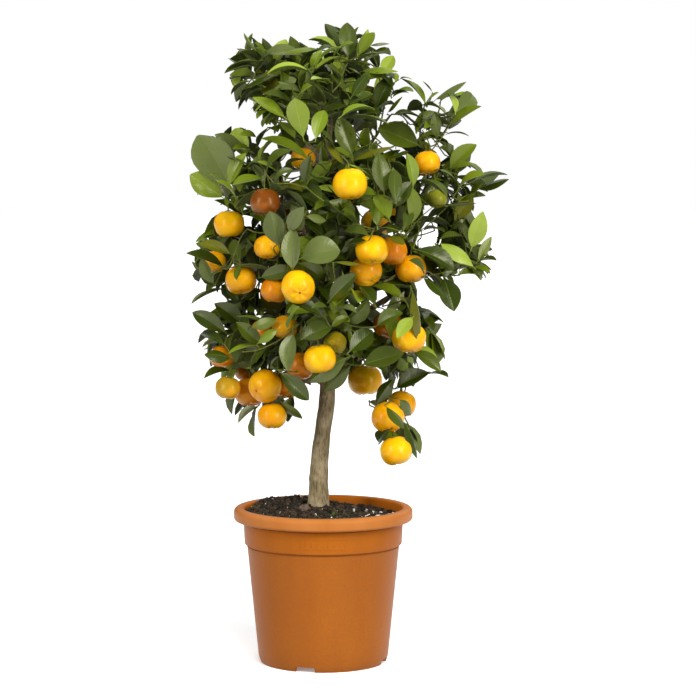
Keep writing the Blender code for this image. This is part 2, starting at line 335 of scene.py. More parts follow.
@dataclass(frozen=True)
class LeafCuticle:
    """The waxed side of a citrus leaf: its satin gloss greys the green where it meets the light."""

    name: str
    colour: str
    roughness: float = 0.3
    vein_pairs: float = 11.0
    vein_rise: float = 0.045
    swell_size: float = 17.0
    swell_rise: float = 2.0
    gloss_size: float = 9.0

    def material(self) -> Material:
        """Builds the material.

        Returns:
            A plain green with side veins that leave the midrib at a slant, and an uneven gloss.
        """
        material, add, place, shader = new_surface(self.name)
        axes = add("SeparateXYZ", add("TexCoord").outputs["UV"])
        across = add("Math", axes.outputs["X"], 0.5, operation="SUBTRACT")
        off_rib = add("Math", across, operation="ABSOLUTE")
        slant = add("Math", off_rib, -0.42, axes.outputs["Y"], operation="MULTIPLY_ADD")
        turns = add("Math", slant, self.vein_pairs * tau, operation="MULTIPLY")
        wave = add("Math", turns, operation="SINE")
        swell = add("TexNoise", Vector=place, Scale=per(self.swell_size), Detail=1.0)
        swollen = add("Bump", Height=swell, Strength=0.6, Distance=self.swell_rise * MM)
        bump = add("Bump", Height=wave, Normal=swollen, Strength=0.5, Distance=self.vein_rise * MM)
        patches = add("TexNoise", Vector=place, Scale=per(self.gloss_size), Detail=2.0)
        gloss = add("MapRange", Value=patches, To_Min=self.roughness - 0.08, To_Max=self.roughness + 0.08)
        feed(shader, Base_Color=self.colour, Normal=bump, Roughness=gloss, IOR=1.5, Specular_Tint="#fbf7dc")
        return material


@dataclass(frozen=True)
class Mottled:
    """A matt surface of two colours that mix in small soft patches, each patch a little raised."""

    name: str
    colour: str
    shade: str
    roughness: float
    grain: float
    detail: float
    raggedness: float
    blend: Pair
    relief: Pair  # how strongly the patches stand out, and how high in millimetres
    ior: float

    def material(self) -> Material:
        """Builds the material.

        Returns:
            The two colours, mixed patch by patch, with the patches as bumps.
        """
        material, add, place, shader = new_surface(self.name)
        patches = add("TexNoise", Vector=place, Scale=per(self.grain), Detail=self.detail,
                      Roughness=self.raggedness)
        low, high = self.blend
        share = add("MapRange", Value=patches, From_Min=low, From_Max=high)
        colour = add("Mix", Factor=share, A=self.shade, B=self.colour, data_type="RGBA")
        strength, rise = self.relief
        bump = add("Bump", Height=patches, Strength=strength, Distance=rise * MM)
        feed(shader, Base_Color=colour, Normal=bump, Roughness=self.roughness, IOR=self.ior)
        return material


@dataclass(frozen=True)
class PlainPlantSkin(Mottled):
    """Soft green plant tissue, as on midribs, stalks and calyxes: matt and finely mottled."""

    roughness: float = 0.55
    grain: float = 1.6
    detail: float = 3.0
    raggedness: float = 0.5
    blend: Pair = (0.35, 0.65)
    relief: Pair = (0.4, 0.15)
    ior: float = 1.3


@dataclass(frozen=True)
class CitrusRind:
    """Citrus rind: oil glands pit its waxed skin, and light sinks in and comes out warmer."""

    name: str
    colour: str
    blush: str
    glow: tuple[float, float, float] = (1.0, 0.45, 0.08)
    gland: float = 1.5
    blush_size: float = 17.0

    def material(self) -> Material:
        """Builds the material.

        Returns:
            A softly glossy rind with pitted glands and a slow drift between two colours.
        """
        material, add, place, shader = new_surface(self.name)
        drift = add("TexNoise", Vector=place, Scale=per(self.blush_size), Detail=2.0)
        share = add("MapRange", Value=drift, From_Min=0.4, From_Max=0.62)
        ground = add("Mix", Factor=share, A=self.colour, B=self.blush, data_type="RGBA")
        glands = add("TexVoronoi", Vector=place, Scale=per(self.gland))
        pits = add("MapRange", Value=glands, From_Max=0.35)
        dots = add("MapRange", Value=pits, To_Min=0.22, To_Max=0.0)
        colour = add("Mix", Factor=dots, A=ground, B=self.blush, data_type="RGBA")
        bump = add("Bump", Height=pits, Strength=0.5, Distance=0.18 * MM)
        feed(shader, Base_Color=colour, Normal=bump, Roughness=0.27, IOR=1.41, Specular_Tint="#ffe8b4",
             Subsurface_Weight=0.18, Subsurface_Radius=self.glow, Subsurface_Scale=3.0 * MM)
        return material


@dataclass(frozen=True)
class LooseGrit(Mottled):
    """Potting soil and what is in it: matt, pitted grains, each a little lighter or darker."""

    roughness: float = 0.95
    grain: float = 2.0
    detail: float = 6.0
    raggedness: float = 0.7
    blend: Pair = (0.38, 0.64)
    relief: Pair = (0.8, 0.5)
    ior: float = 1.5


class Tone(Enum):
    """The greens of the leaves, from the darkest, a painted shade for leaves inside the crown, to the
    newest growth; the greyed green is a painted sheen.
    """

    # painted shade: the darkest green, dealt to leaves inside the crown
    SHADE = "#1b2404"
    DARK = "#2e3b07"
    BLUE = "#404c15"
    # painted sheen: a green greyed as the leaves' gloss greys it where it meets the light
    GREYED = "#586330"
    MATURE = "#414e09"
    OLIVE = "#58580c"
    MID = "#5a690f"
    BRIGHT = "#6c7e19"
    PALE = "#8b9d34"


class Ripeness(Enum):
    """How far a fruit has turned, with its colour and its blush; SHADED is no ripeness but painted shade,
    and DEEP is partly painted shade on the seen fruit deep in the crown.
    """

    RIPE = ("#e8a806", "#dc9205")
    YELLOW = ("#efb808", "#e8a406")
    AMBER = ("#d88a06", "#c47005")
    # a real deep orange, and on the seen fruit deep in the crown partly a painted shade
    DEEP = ("#c87806", "#a45a05")
    HALF = ("#cf9210", "#ab8618")
    # painted shade: a dark brown-orange for a fruit that lies in shade deep in the crown
    SHADED = ("#8f4c0e", "#6d380a")
    TURNING = ("#b29a16", "#8a8a1e")
    GREEN = ("#7d7f16", "#60661a")


def shared_leaf_materials() -> list[Material]:
    """Returns the leaf materials in the order that Leaf.slots counts them."""
    made = [LeafCuticle(f"{tone.name.lower()} citrus leaf", tone.value).material() for tone in Tone]
    # painted shade: both undersides are darker than a citrus leaf's paler underside, standing in for the
    # shade under the leaves
    made.append(LeafCuticle("matt leaf underside", "#3c481c", 0.55).material())
    made.append(LeafCuticle("pale leaf underside", "#5e7028", 0.5).material())
    made.append(PlainPlantSkin("leaf midrib", "#5e6c2a", "#4e5d24").material())
    made.append(PlainPlantSkin("young leaf midrib", "#8fa343", "#7b9036").material())
    return made


# Small shapes, joined


@dataclass
class Template:
    """A small shape that is modelled once: its points, faces, slots and UVs as arrays."""

    points: np.ndarray
    loops: np.ndarray
    sizes: np.ndarray
    slots: np.ndarray
    uvs: np.ndarray

    @classmethod
    def taken_from(cls, obj: Object) -> "Template":
        """Reads a modelled shape into arrays and removes it.

        Args:
            obj: the modelled shape.

        Returns:
            The shape as arrays.
        """
        mesh = obj.data
        loops = read_all(mesh.loops, "vertex_index")
        sizes, slots = (read_all(mesh.polygons, what) for what in ("loop_total", "material_index"))
        uvs = read_all(mesh.uv_layers[0].uv, "vector", 2) if mesh.uv_layers else np.zeros(len(loops) * 2)
        points = mesh_points(mesh)
        bpy.data.objects.remove(obj)
        bpy.data.meshes.remove(mesh)
        return cls(points, loops, sizes, slots, uvs)


@dataclass
class Batch:
    """Many small shapes gathered into one joined mesh."""

    name: str
    materials: list[Material]
    parts: list[tuple[Template, np.ndarray, np.ndarray | int]] = field(default_factory=list)

    def add(self, template: Template, points: np.ndarray, slots: np.ndarray | int = 0) -> None:
        """Adds a copy of a template with its own points, and a slot for each face or one for all."""
        self.parts.append((template, points, slots))

    def add_tube(self, path: list[Vector], radii: list[float], sides: int, slot: int) -> None:
        """Adds a tapering tube with closed ends.

        Args:
            path: the points of its centreline.
            radii: its radius at each.
            sides: how many sides it has.
            slot: its material slot.
        """
        rings = tube_rings(path, radii, sides)
        ends = len(rings) - sides
        low = np.arange(ends).reshape(-1, sides)
        after = np.roll(low, -1, axis=1)
        quads = np.stack([low, after, after + sides, low + sides], axis=2).ravel()
        loops = np.concatenate([quads, np.arange(sides)[::-1], np.arange(sides) + ends])
        sizes = np.array([4] * ends + [sides, sides])
        tube = Template(rings, loops, sizes, np.zeros(len(sizes), int), np.zeros(len(loops) * 2))
        self.add(tube, rings, slot)

    def piece(self, angle_deg: float = 40.0) -> Object:
        """Joins what was gathered into one object.

        Args:
            angle_deg: how far its surface turns before an edge stays sharp.

        Returns:
            The joined piece.
        """
        templates, points, slots = zip(*self.parts)
        first = np.cumsum([0, *map(len, points)])
        loops = np.concatenate([t.loops + start for t, start in zip(templates, first)])
        sizes = np.concatenate([t.sizes for t in templates])
        slots = np.concatenate([np.broadcast_to(s, t.sizes.shape) for t, s in zip(templates, slots)])
        mesh = bpy.data.meshes.new(self.name)
        mesh.vertices.add(int(first[-1]))
        mesh.vertices.foreach_set("co", np.concatenate(points).ravel())
        mesh.loops.add(len(loops))
        mesh.loops.foreach_set("vertex_index", loops)
        mesh.polygons.add(len(sizes))
        mesh.polygons.foreach_set("loop_start", np.cumsum(sizes) - sizes)
        mesh.polygons.foreach_set("material_index", slots)
        mesh.update(calc_edges=True)
        layer = mesh.uv_layers.new(name="UVMap")
        layer.uv.foreach_set("vector", np.concatenate([t.uvs for t in templates]))
        mesh.validate()
        for material in self.materials:
            mesh.materials.append(material)
        piece = in_scene(self.name, mesh)
        smooth_shade(piece, angle_deg)
        return piece


def heading_at(path: list[Vector], index: int) -> Vector:
    """Returns a path's heading at one of its points."""
    return (path[min(index + 1, len(path) - 1)] - path[max(index - 1, 0)]).normalized()


def tube_rings(path: list[Vector], radii: list[float], sides: int) -> np.ndarray:
    """Works out rings of points round a path, with no twist from ring to ring.

    Args:
        path: the points of the centreline.
        radii: the radius at each.
        sides: how many points a ring has.

    Returns:
        The points, ring after ring.
    """
    turns = np.arange(sides) * tau / sides
    side = (path[1] - path[0]).normalized().orthogonal().normalized()
    rows = []
    for index, point in enumerate(path):
        heading = heading_at(path, index)
        side = (side - heading * side.dot(heading)).normalized()
        ring = np.outer(np.cos(turns), side) + np.outer(np.sin(turns), heading.cross(side))
        rows.append(np.array(point) + ring * radii[index])
    return np.concatenate(rows)


def smooth_path(points: list[Vector], step: float) -> list[Vector]:
    """Reads a smooth curve through some points at an even step.

    Args:
        points: what the curve passes through.
        step: how far apart the points of the result lie.

    Returns:
        Points along the curve.
    """
    padded = [points[0] * 2 - points[1], *points, points[-1] * 2 - points[-2]]
    path = []
    for a, b, c, d in zip(padded, padded[1:], padded[2:], padded[3:]):
        count = max(1, round((c - b).length / step))
        for i in range(count):
            t = i / count
            path.append((b * 2 + (c - a) * t + (a * 2 - b * 5 + c * 4 - d) * t * t
                         + (b * 3 - a - c * 3 + d) * t**3) * 0.5)
    path.append(points[-1].copy())
    return path


def distances(path: list[Vector]) -> list[float]:
    """Returns how far along a path each of its points lies."""
    return [0.0, *accumulate((b - a).length for a, b in zip(path, path[1:]))]


# The view


@dataclass(frozen=True)
class Viewpoint:
    """The photograph's viewpoint, fitted to the pot's rim, band and foot."""

    place: tuple[float, float, float] = (27.7, -2661.0, 567.0)
    pitch_deg: float = 4.63
    lens: float = 124.08
    sensor: float = 36.0
    frame_px: float = 696.0

    @property
    def eye(self) -> Vector:
        """Returns where the camera stands, in metres."""
        return mm(*self.place)

    @property
    def focal_px(self) -> float:
        """Returns the focal length in pixels of the photograph."""
        return self.lens / self.sensor * self.frame_px

    def at(self, px: Pair, distance: float) -> Vector:
        """Returns the place at this distance from the camera that a pixel shows."""
        return self.eye + self.sight(px) * distance

    def pixel(self, place: Vector) -> np.ndarray:
        """Returns pixel across, pixel down and distance for one place."""
        return self.seen_at(np.array(place))[0]

    def sight(self, px: Pair) -> Vector:
        """Returns the unit direction in which a pixel of the 696 x 696 photograph is seen."""
        across = (px[0] - self.frame_px / 2) / self.focal_px
        rise = (self.frame_px / 2 - px[1]) / self.focal_px
        pitch = radians(self.pitch_deg)
        forward = Vector((0.0, cos(pitch), -sin(pitch)))
        above = Vector((0.0, sin(pitch), cos(pitch)))
        return (forward + Vector((across, 0.0, 0.0)) + above * rise).normalized()

    def seen_at(self, points: np.ndarray) -> np.ndarray:
        """Finds where points show in the photograph.

        Args:
            points: rows of places in metres.

        Returns:
            Rows of pixel across, pixel down and distance.
        """
        pitch = radians(self.pitch_deg)
        away = np.asarray(points, float).reshape(-1, 3) - np.array(self.eye)
        depth = away[:, 1] * cos(pitch) - away[:, 2] * sin(pitch)
        rise = away[:, 1] * sin(pitch) + away[:, 2] * cos(pitch)
        middle = self.frame_px / 2
        across = middle + away[:, 0] / depth * self.focal_px
        down = middle - rise / depth * self.focal_px
        return np.stack([across, down, depth], axis=1)

    def make_camera(self) -> None:
        """Adds the camera and makes it the scene's own."""
        data = bpy.data.cameras.new("camera")
        data.lens = self.lens
        data.sensor_width = self.sensor
        data.clip_start = 0.05
        data.clip_end = 60.0
        camera = in_scene("camera", data)
        camera.location = self.eye
        camera.rotation_euler = (radians(90.0 - self.pitch_deg), 0.0, 0.0)
        bpy.context.scene.camera = camera


# Pot


@dataclass
class Pot:
    """The nursery pot: tapered wall, band, rolled lip, notched foot ring and drained floor."""

    rim_radius: float = 100.0
    height: float = 173.5
    mouth_radius: float = 90.0
    wall: float = 2.0
    lip_height: float = 14.0
    lip_round: float = 5.0
    band_bottom: float = 133.0
    band_radius: float = 88.0
    band_step: float = 2.6
    foot_radius: float = 70.4
    foot_chamfer: float = 2.4
    foot_height: float = 7.0
    foot_ring: float = 4.0
    floor_low: float = 6.5
    floor_top: float = 9.0
    hub_radius: float = 14.0
    sides: int = 144
    notches: int = 4
    notch_first_deg: float = -16.0
    notch_size: Pair = (22.0, 5.8)
    drain_radius: float = 4.0
    drain_ring: float = 46.0
    groove: float = 1.8  # height of the fine grooves under the lip and under the band
    bar_count: int = 9
    bar_pitch: float = 6.2
    bar_proud: float = 0.35

    def wall_radius(self, z: float) -> float:
        """Returns the outer radius of the wall at a height, below the band or on it."""
        if z < self.band_bottom:
            low = self.foot_radius + self.foot_chamfer
            share = (z - self.foot_height) / (self.band_bottom - self.foot_height)
            return low + (self.band_radius - self.band_step - low) * share
        top = self.height - self.lip_height
        share = (z - self.band_bottom) / (top - self.band_bottom)
        return self.band_radius + (self.rim_radius - 10.7 - self.band_radius) * share

    def section(self) -> list[Pair]:
        """Works out the section, from the hub outwards, up outside and down inside.

        Returns:
            Radius and height of each corner, with the lip's rounds as arcs.
        """
        low, inner = self.floor_low, self.foot_radius - self.foot_ring
        points = [(self.hub_radius, 0.0), (self.hub_radius, low), (inner, low), (inner, 0.0),
                  (self.foot_radius, 0.0)]
        rises = np.arange(self.foot_height, self.band_bottom - 4.0, 17.0)
        points += [(self.wall_radius(z), z) for z in rises]
        lip_low = self.height - self.lip_height
        for under, wide in ((self.band_bottom, self.band_radius - 0.5), (lip_low, self.rim_radius - 3.4)):
            wall = self.wall_radius(under - 1.0)
            points += [(wall, under - self.groove - 0.7), (wall - 0.9, under - self.groove),
                       (wall - 0.9, under - 0.4), (wide, under)]
            if under == self.band_bottom:
                points += [(self.wall_radius(z), z) for z in (under + 0.5, under + 12.0)]
        small, lip = 3.0, self.lip_round
        points += self.arc(self.rim_radius - small, lip_low + small, small, -70.0, 0.0, 4)
        points += self.arc(self.rim_radius - lip, self.height - lip, lip, 0.0, 90.0, 6)
        mouth = self.mouth_radius - self.wall
        points += self.arc(mouth + small, self.height - small, small, 90.0, 180.0, 5)
        for z in (self.band_bottom, self.band_bottom - 1.5, self.floor_top + 3.0):
            points.append((self.wall_radius(z) - self.wall, z))
        foot = self.wall_radius(self.floor_top) - self.wall - 1.5
        return [*points, (foot, self.floor_top), (self.hub_radius, self.floor_top)]

    @staticmethod
    def arc(x: float, z: float, radius: float, start_deg: float, end_deg: float, steps: int) -> list[Pair]:
        """Returns the points of an arc in the section, both ends included."""
        turns = [radians(start_deg + (end_deg - start_deg) * i / steps) for i in range(steps + 1)]
        return [(x + radius * cos(t), z + radius * sin(t)) for t in turns]

    def cut_outlets(self, shell: Object) -> None:
        """Cuts the water outlets through the foot ring and the drain holes through the floor."""
        width, rise = self.notch_size
        for index in range(self.notches):
            turn = radians(self.notch_first_deg + index * 360.0 / self.notches)
            ring = self.foot_radius - self.foot_ring / 2
            notch = primitive(bpy.ops.mesh.primitive_cube_add, size=1.0, rotation=(0.0, 0.0, turn),
                              location=mm(ring * sin(turn), -ring * cos(turn), rise / 2 - 1.5),
                              scale=mm(width, 3 * self.foot_ring, rise + 3.0))
            with editing(notch):
                bpy.ops.mesh.bevel(offset=1.6 * MM, segments=3, affect="EDGES")
            self.subtract(shell, notch)
            turn += pi / self.notches
            across, back = self.drain_ring * sin(turn), -self.drain_ring * cos(turn)
            middle = (self.floor_low + self.floor_top) / 2
            hole = primitive(bpy.ops.mesh.primitive_cylinder_add, vertices=24, depth=8.0 * MM,
                             radius=self.drain_radius * MM, location=mm(across, back, middle))
            self.subtract(shell, hole)

    @staticmethod
    def subtract(shell: Object, cutter: Object) -> None:
        """Cuts one shape out of another and removes the cutter."""
        apply_modifier(shell, "BOOLEAN", operation="DIFFERENCE", object=cutter)
        bpy.data.objects.remove(cutter)

    def raised_bars(self) -> Batch:
        """Models plain raised bars between two fine lines on the front of the band.

        Returns:
            The bars and lines, bent round the band.
        """
        bar = primitive(bpy.ops.mesh.primitive_cube_add, size=1.0)
        with editing(bar):
            bpy.ops.mesh.bevel(offset=0.16, segments=2, affect="EDGES")
        template = Template.taken_from(bar)
        batch = Batch("pot_band_bars", [MouldedPolypropylene("moulded relief").material()])
        middle = self.band_bottom + 11.0
        bars = [(self.bar_pitch * (i - (self.bar_count - 1) / 2), middle, 0.9, 5.6)
                for i in range(self.bar_count)]
        lines = [(self.bar_pitch * (i - self.bar_count / 2 + 0.5), middle + side * 5.2,
                  self.bar_pitch + 0.01, 0.55) for side in (-1, 1) for i in range(self.bar_count)]
        for across, rise, width, tall in bars + lines:
            shaped = template.points * np.array([width, 2 * self.bar_proud, tall])
            turn = (across + shaped[:, 0]) / self.band_radius
            radius = self.wall_radius(rise) - shaped[:, 1]
            bent = np.stack([radius * np.sin(turn), -radius * np.cos(turn), rise + shaped[:, 2]], 1)
            batch.add(template, bent * MM)
        return batch

    def build(self) -> None:
        """Builds the pot and hands it in."""
        shell = turned("moulded_pot", self.section(), self.sides)
        self.cut_outlets(shell)
        apply_modifier(shell, "BEVEL", width=0.45 * MM, segments=2, limit_method="ANGLE",
                       angle_limit=radians(38.0), use_clamp_overlap=True)
        smooth_shade(shell, 35.0)
        # painted highlight: the lip gets a paler polypropylene that stands in for the light along the
        # rolled lip
        paler_as_painted_highlight = MouldedPolypropylene("rubbed polypropylene lip", "#b47038", "#a8632a")
        for finish in (MouldedPolypropylene(), paler_as_painted_highlight):
            shell.data.materials.append(finish.material())
        # the faces of the lip take the paler finish of the painted highlight
        for face in shell.data.polygons:
            away = hypot(face.center.x, face.center.y)
            on_lip = face.center.z > (self.height - self.lip_height) * MM and away > self.mouth_radius * MM
            face.material_index = int(on_lip)
        hand_in(shell, "pot", "pot")
        hand_in(self.raised_bars().piece(), "pot")


# Soil


@dataclass
class Soil:
    """The potting soil: a rough heap in the pot, with crumbs, moss, grit and two pebbles on it."""

    radius: float = 86.4
    rings: int = 46
    sides: int = 150
    floor: float = 9.6
    shoulder: float = 12.5
    bank: float = 5.0  # how much higher the soil lies along the left of the pot
    crumbs: int = 2600
    fibres: int = 160
    moss: int = 150
    perlite: int = 150
    grit: int = 95
    seed: int = 11

    def __post_init__(self) -> None:
        """Reads the top of the packed soil and starts the random draws."""
        self.top = skin_of("soil")
        self.random = random.Random(self.seed)

    def height_at(self, x: float, y: float) -> float:
        """Returns the height of the packed soil's top at a place, in metres."""
        hit = self.top.ray_cast(Vector((x, y, 0.4)), -UP)[0]
        return hit.z if hit else 163.0 * MM

    def rough_height(self, x: float, y: float) -> float:
        """Returns the height of the finished surface at a place, with clods and hollows."""
        clods = 1.9 * noise.noise(Vector((x, y, 0.0)) / (9.0 * MM))
        grains = 1.1 * noise.noise(Vector((x, y, 1.0)) / (3.4 * MM))
        away = hypot(x, y)
        bank = self.bank * smooth((away / MM - 62.0) / 20.0) * smooth(-0.2 - 1.5 * x / max(away, MM))
        return self.height_at(x, y) + (clods + grains + bank) * MM

    def heap(self) -> Object:
        """Models the body of the soil from a disc that shrinks ring by ring.

        Returns:
            A closed piece with a rough top and a side that follows the pot.
        """
        section = [(67.0, self.floor), (69.6, self.shoulder), (81.6, 131.0), (83.6, 135.0),
                   (self.radius, 158.0)]
        section += [(self.radius * (1.0 - i / self.rings), 163.0) for i in range(self.rings)]
        heap = turned("soil_heap", section, self.sides)
        for vertex in heap.data.vertices:
            if vertex.co.z > 162.0 * MM:
                vertex.co.z = self.rough_height(vertex.co.x, vertex.co.y)
        smooth_shade(heap, 50.0)
        return heap

    def lump(self, level: int) -> Template:
        """Models one crumb from an icosphere.

        Args:
            level: how finely it is divided.

        Returns:
            The crumb, 1 unit in radius.
        """
        crumb = primitive(bpy.ops.mesh.primitive_ico_sphere_add, subdivisions=level, radius=1.0)
        for vertex in crumb.data.vertices:
            vertex.co *= 1.0 + 0.45 * noise.noise(vertex.co * 1.7 + Vector((self.random.random(),) * 3))
        return Template.taken_from(crumb)

    def scatter(self, batch: Batch, template: Template, count: int, size: tuple, squash: tuple,
                slots: tuple, area=None) -> None:
        """Scatters copies of a small shape over the soil.

        Args:
            batch: what gathers the copies.
            template: the small shape.
            count: how many copies there are.
            size: the smallest and largest radius, in millimetres.
            squash: how much each axis is stretched.
            slots: the material slots to draw from.
            area: what draws a place, or none for the whole surface.
        """
        for _ in range(count):
            turn = self.random.uniform(0.0, tau)
            away = self.radius * sqrt(self.random.random()) - 1.0
            x, y = away * sin(turn), away * cos(turn)
            if area:
                x, y = area()
                if hypot(x, y) > self.radius - 3.0:
                    continue
            radius = size[0] + (size[1] - size[0]) * self.random.random() ** 2.2
            spin = Quaternion([self.random.gauss(0, 1) for _ in range(4)]).normalized().to_matrix()
            stretch = Matrix.Diagonal([radius * s * self.random.uniform(0.8, 1.2) for s in squash])
            shaped = template.points @ np.array(spin @ stretch).T
            rise = self.rough_height(x * MM, y * MM) / MM + radius * 0.3
            batch.add(template, (shaped + np.array([x, y, rise])) * MM, self.random.choice(slots))

    def build(self) -> None:
        """Builds the heap and all that lies on it, and hands them in."""
        peat = LooseGrit("moist peat", "#2f261a", "#15100a").material()
        heap = self.heap()
        heap.data.materials.append(peat)
        hand_in(heap, "soil", "soil")

        crumb = self.lump(1)
        crumbs = Batch("soil_crumbs", [
            peat,
            LooseGrit("dry peat crumb", "#4a3f2c", "#281f14").material(),
            LooseGrit("bark chip", "#4f3b26", "#302316").material(),
            LooseGrit("damp moss", "#55662a", "#303d16").material(),
        ])
        self.scatter(crumbs, crumb, self.crumbs, (0.9, 3.4), (1, 1, 0.8), (0, 0, 0, 1, 1, 2))
        self.scatter(crumbs, crumb, self.fibres, (1.0, 2.2), (3.2, 0.5, 0.5), (1, 2, 2))
        self.scatter(crumbs, crumb, self.moss, (0.8, 2.2), (1.3, 1, 0.6), (3,),
                     lambda: (24 + self.random.gauss(0, 13), -38 + self.random.gauss(0, 16)))
        hand_in(crumbs.piece(30.0), "soil")

        white = Batch("perlite_grains", [LooseGrit("perlite", "#f2efe6", "#cfc9ba", grain=1.2).material()])
        self.scatter(white, crumb, self.perlite, (0.7, 2.0), (1, 1, 0.8), (0,))
        self.scatter(white, crumb, self.grit, (1.2, 2.7), (1.2, 1, 0.8), (0,),
                     lambda: (62 + self.random.gauss(0, 11), -10 + self.random.gauss(0, 24)))
        for x, y in ((-9.0, -30.0), (34.0, 12.0)):
            self.scatter(white, crumb, 1, (2.5, 2.8), (1.5, 1, 0.6), (0,), lambda: (x, y))
        hand_in(white.piece(30.0), "soil")

        pebble = Batch("pebbles", [LooseGrit("river pebble", "#6b5745", "#44372b", 0.7, 4.0).material()])
        stone = self.lump(3)
        for x, y, radius in ((-21.0, -12.0, 5.8), (34.0, 38.0, 3.6)):
            rise = self.height_at(x * MM, y * MM) / MM + radius * 0.45
            shaped = stone.points * radius * np.array([1.05, 0.9, 0.8])
            pebble.add(stone, (shaped + np.array([x, y, rise])) * MM)
        hand_in(pebble.piece(80.0), "soil")


# Limbs


@dataclass
class Limb:
    """One tapering limb, read from its CAD node: its centreline and its radii, in metres."""

    path: list[Vector]
    radii: list[float]

    @classmethod
    def read(cls, node: str, sides: int) -> "Limb":
        """Reads a limb's rings from its node, from its thick end to its tip.

        Args:
            node: the CAD node.
            sides: how many points a ring has.

        Returns:
            The limb.
        """
        bm = bmesh.new()
        bm.from_mesh(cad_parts[node].data)
        bmesh.ops.remove_doubles(bm, verts=bm.verts, dist=1e-5)
        bm.verts.index_update()
        verts = list(bm.verts)
        spread = np.array([v.co for v in verts])
        centre = spread.mean(0)
        axis = np.linalg.svd(spread - centre)[2][0]
        along = (spread - centre) @ axis
        ring = [verts[i] for i in np.argsort(along)[:sides]]
        path, radii = [], []
        known = set(ring)
        while ring:
            middle = sum((v.co for v in ring), Vector()) / len(ring)
            path.append(middle)
            radii.append(sum((v.co - middle).length for v in ring) / len(ring))
            nearby = {e.other_vert(v) for v in ring for e in v.link_edges}
            ring = sorted(nearby - known, key=lambda v: v.index)
            known.update(ring)
        bm.free()
        if radii[0] < radii[-1]:
            path.reverse()
            radii.reverse()
        return cls(path, radii)

    def radius_at(self, share: float) -> float:
        """Returns the radius at a share of the way along the limb."""
        places = np.linspace(0.0, 1.0, len(self.radii))
        return float(np.interp(share, places, self.radii))


@dataclass
class BarkedLimb:
    """The bark mesh of one limb: fissures, lumps and leaf scars on a round, tapering stem."""

    limb: Limb
    around: int
    step: float
    fissure: float = 0.45
    lump: float = 0.7
    scar: float = 0.7
    scar_pitch: float = 31.0
    root_flare: float = 0.0

    def relief(self, point: Vector, turn: float, along: float, radius: float) -> float:
        """Works out how far the bark stands off the plain limb.

        Args:
            point: a place on the plain limb.
            turn: its angle round the limb.
            along: its distance from the limb's foot.
            radius: the limb's radius there.

        Returns:
            The offset in metres, outward when positive.
        """
        coarse = point / MM
        lumps = self.lump * noise.noise(coarse / 17.0)
        tall = Vector((coarse.x / 2.3, coarse.y / 2.3, coarse.z / 19.0))
        ridges = 1.0 - abs(noise.noise(tall)) * 2.0
        splits = -self.fissure * max(0.0, ridges - 0.45) / 0.55
        fine = 0.12 * noise.noise(coarse / 1.6)
        index = round(along / MM / self.scar_pitch)
        facing = index * radians(137.5)
        off = along / MM - index * self.scar_pitch
        gap = remainder(turn - facing, tau)
        scars = self.scar * exp(-((off / 2.6) ** 2) - (gap / 0.75) ** 2)
        flare = self.root_flare * exp(-along / MM / 11.0) * (1.0 + 0.55 * sin(3 * turn + 0.6))
        return (lumps + splits + fine + scars) * MM * min(1.0, radius / (6.0 * MM)) + flare * MM

    def build(self, name: str, bark: Material) -> Object:
        """Rolls a grid into a tube along the limb and closes its ends.

        Args:
            name: the piece's name.
            bark: its material.

        Returns:
            The barked limb.
        """
        path = smooth_path(self.limb.path, self.step * MM)
        rows = len(path) - 1
        piece = primitive(bpy.ops.mesh.primitive_grid_add, x_subdivisions=self.around, y_subdivisions=rows,
                          size=1.0)
        flat = mesh_points(piece.data)
        columns = np.rint((flat[:, 0] + 0.5) * self.around).astype(int)
        lines = np.rint((flat[:, 1] + 0.5) * rows).astype(int)
        radii = [self.limb.radius_at(i / rows) for i in range(rows + 1)]
        plain = tube_rings(path, radii, self.around).reshape(rows + 1, self.around, 3)
        lengths = distances(path)
        places = []
        for column, line in zip(columns, lines):
            side = column % self.around
            point = Vector(plain[line, side])
            turn = side * tau / self.around
            out = (point - path[line]).normalized()
            places.append(point + out * self.relief(point, turn, lengths[line], radii[line]))
        piece.data.vertices.foreach_set("co", np.array(places).ravel())
        piece.data.update()
        with editing(piece):
            bpy.ops.mesh.remove_doubles(threshold=1e-6)
            bpy.ops.mesh.fill_holes(sides=0)
            bpy.ops.mesh.select_all(action="SELECT")
            bpy.ops.mesh.normals_make_consistent(inside=False)
        smooth_shade(piece, 60.0)
        piece.name = name
        piece.data.materials.append(bark)
        return piece


# Leaves


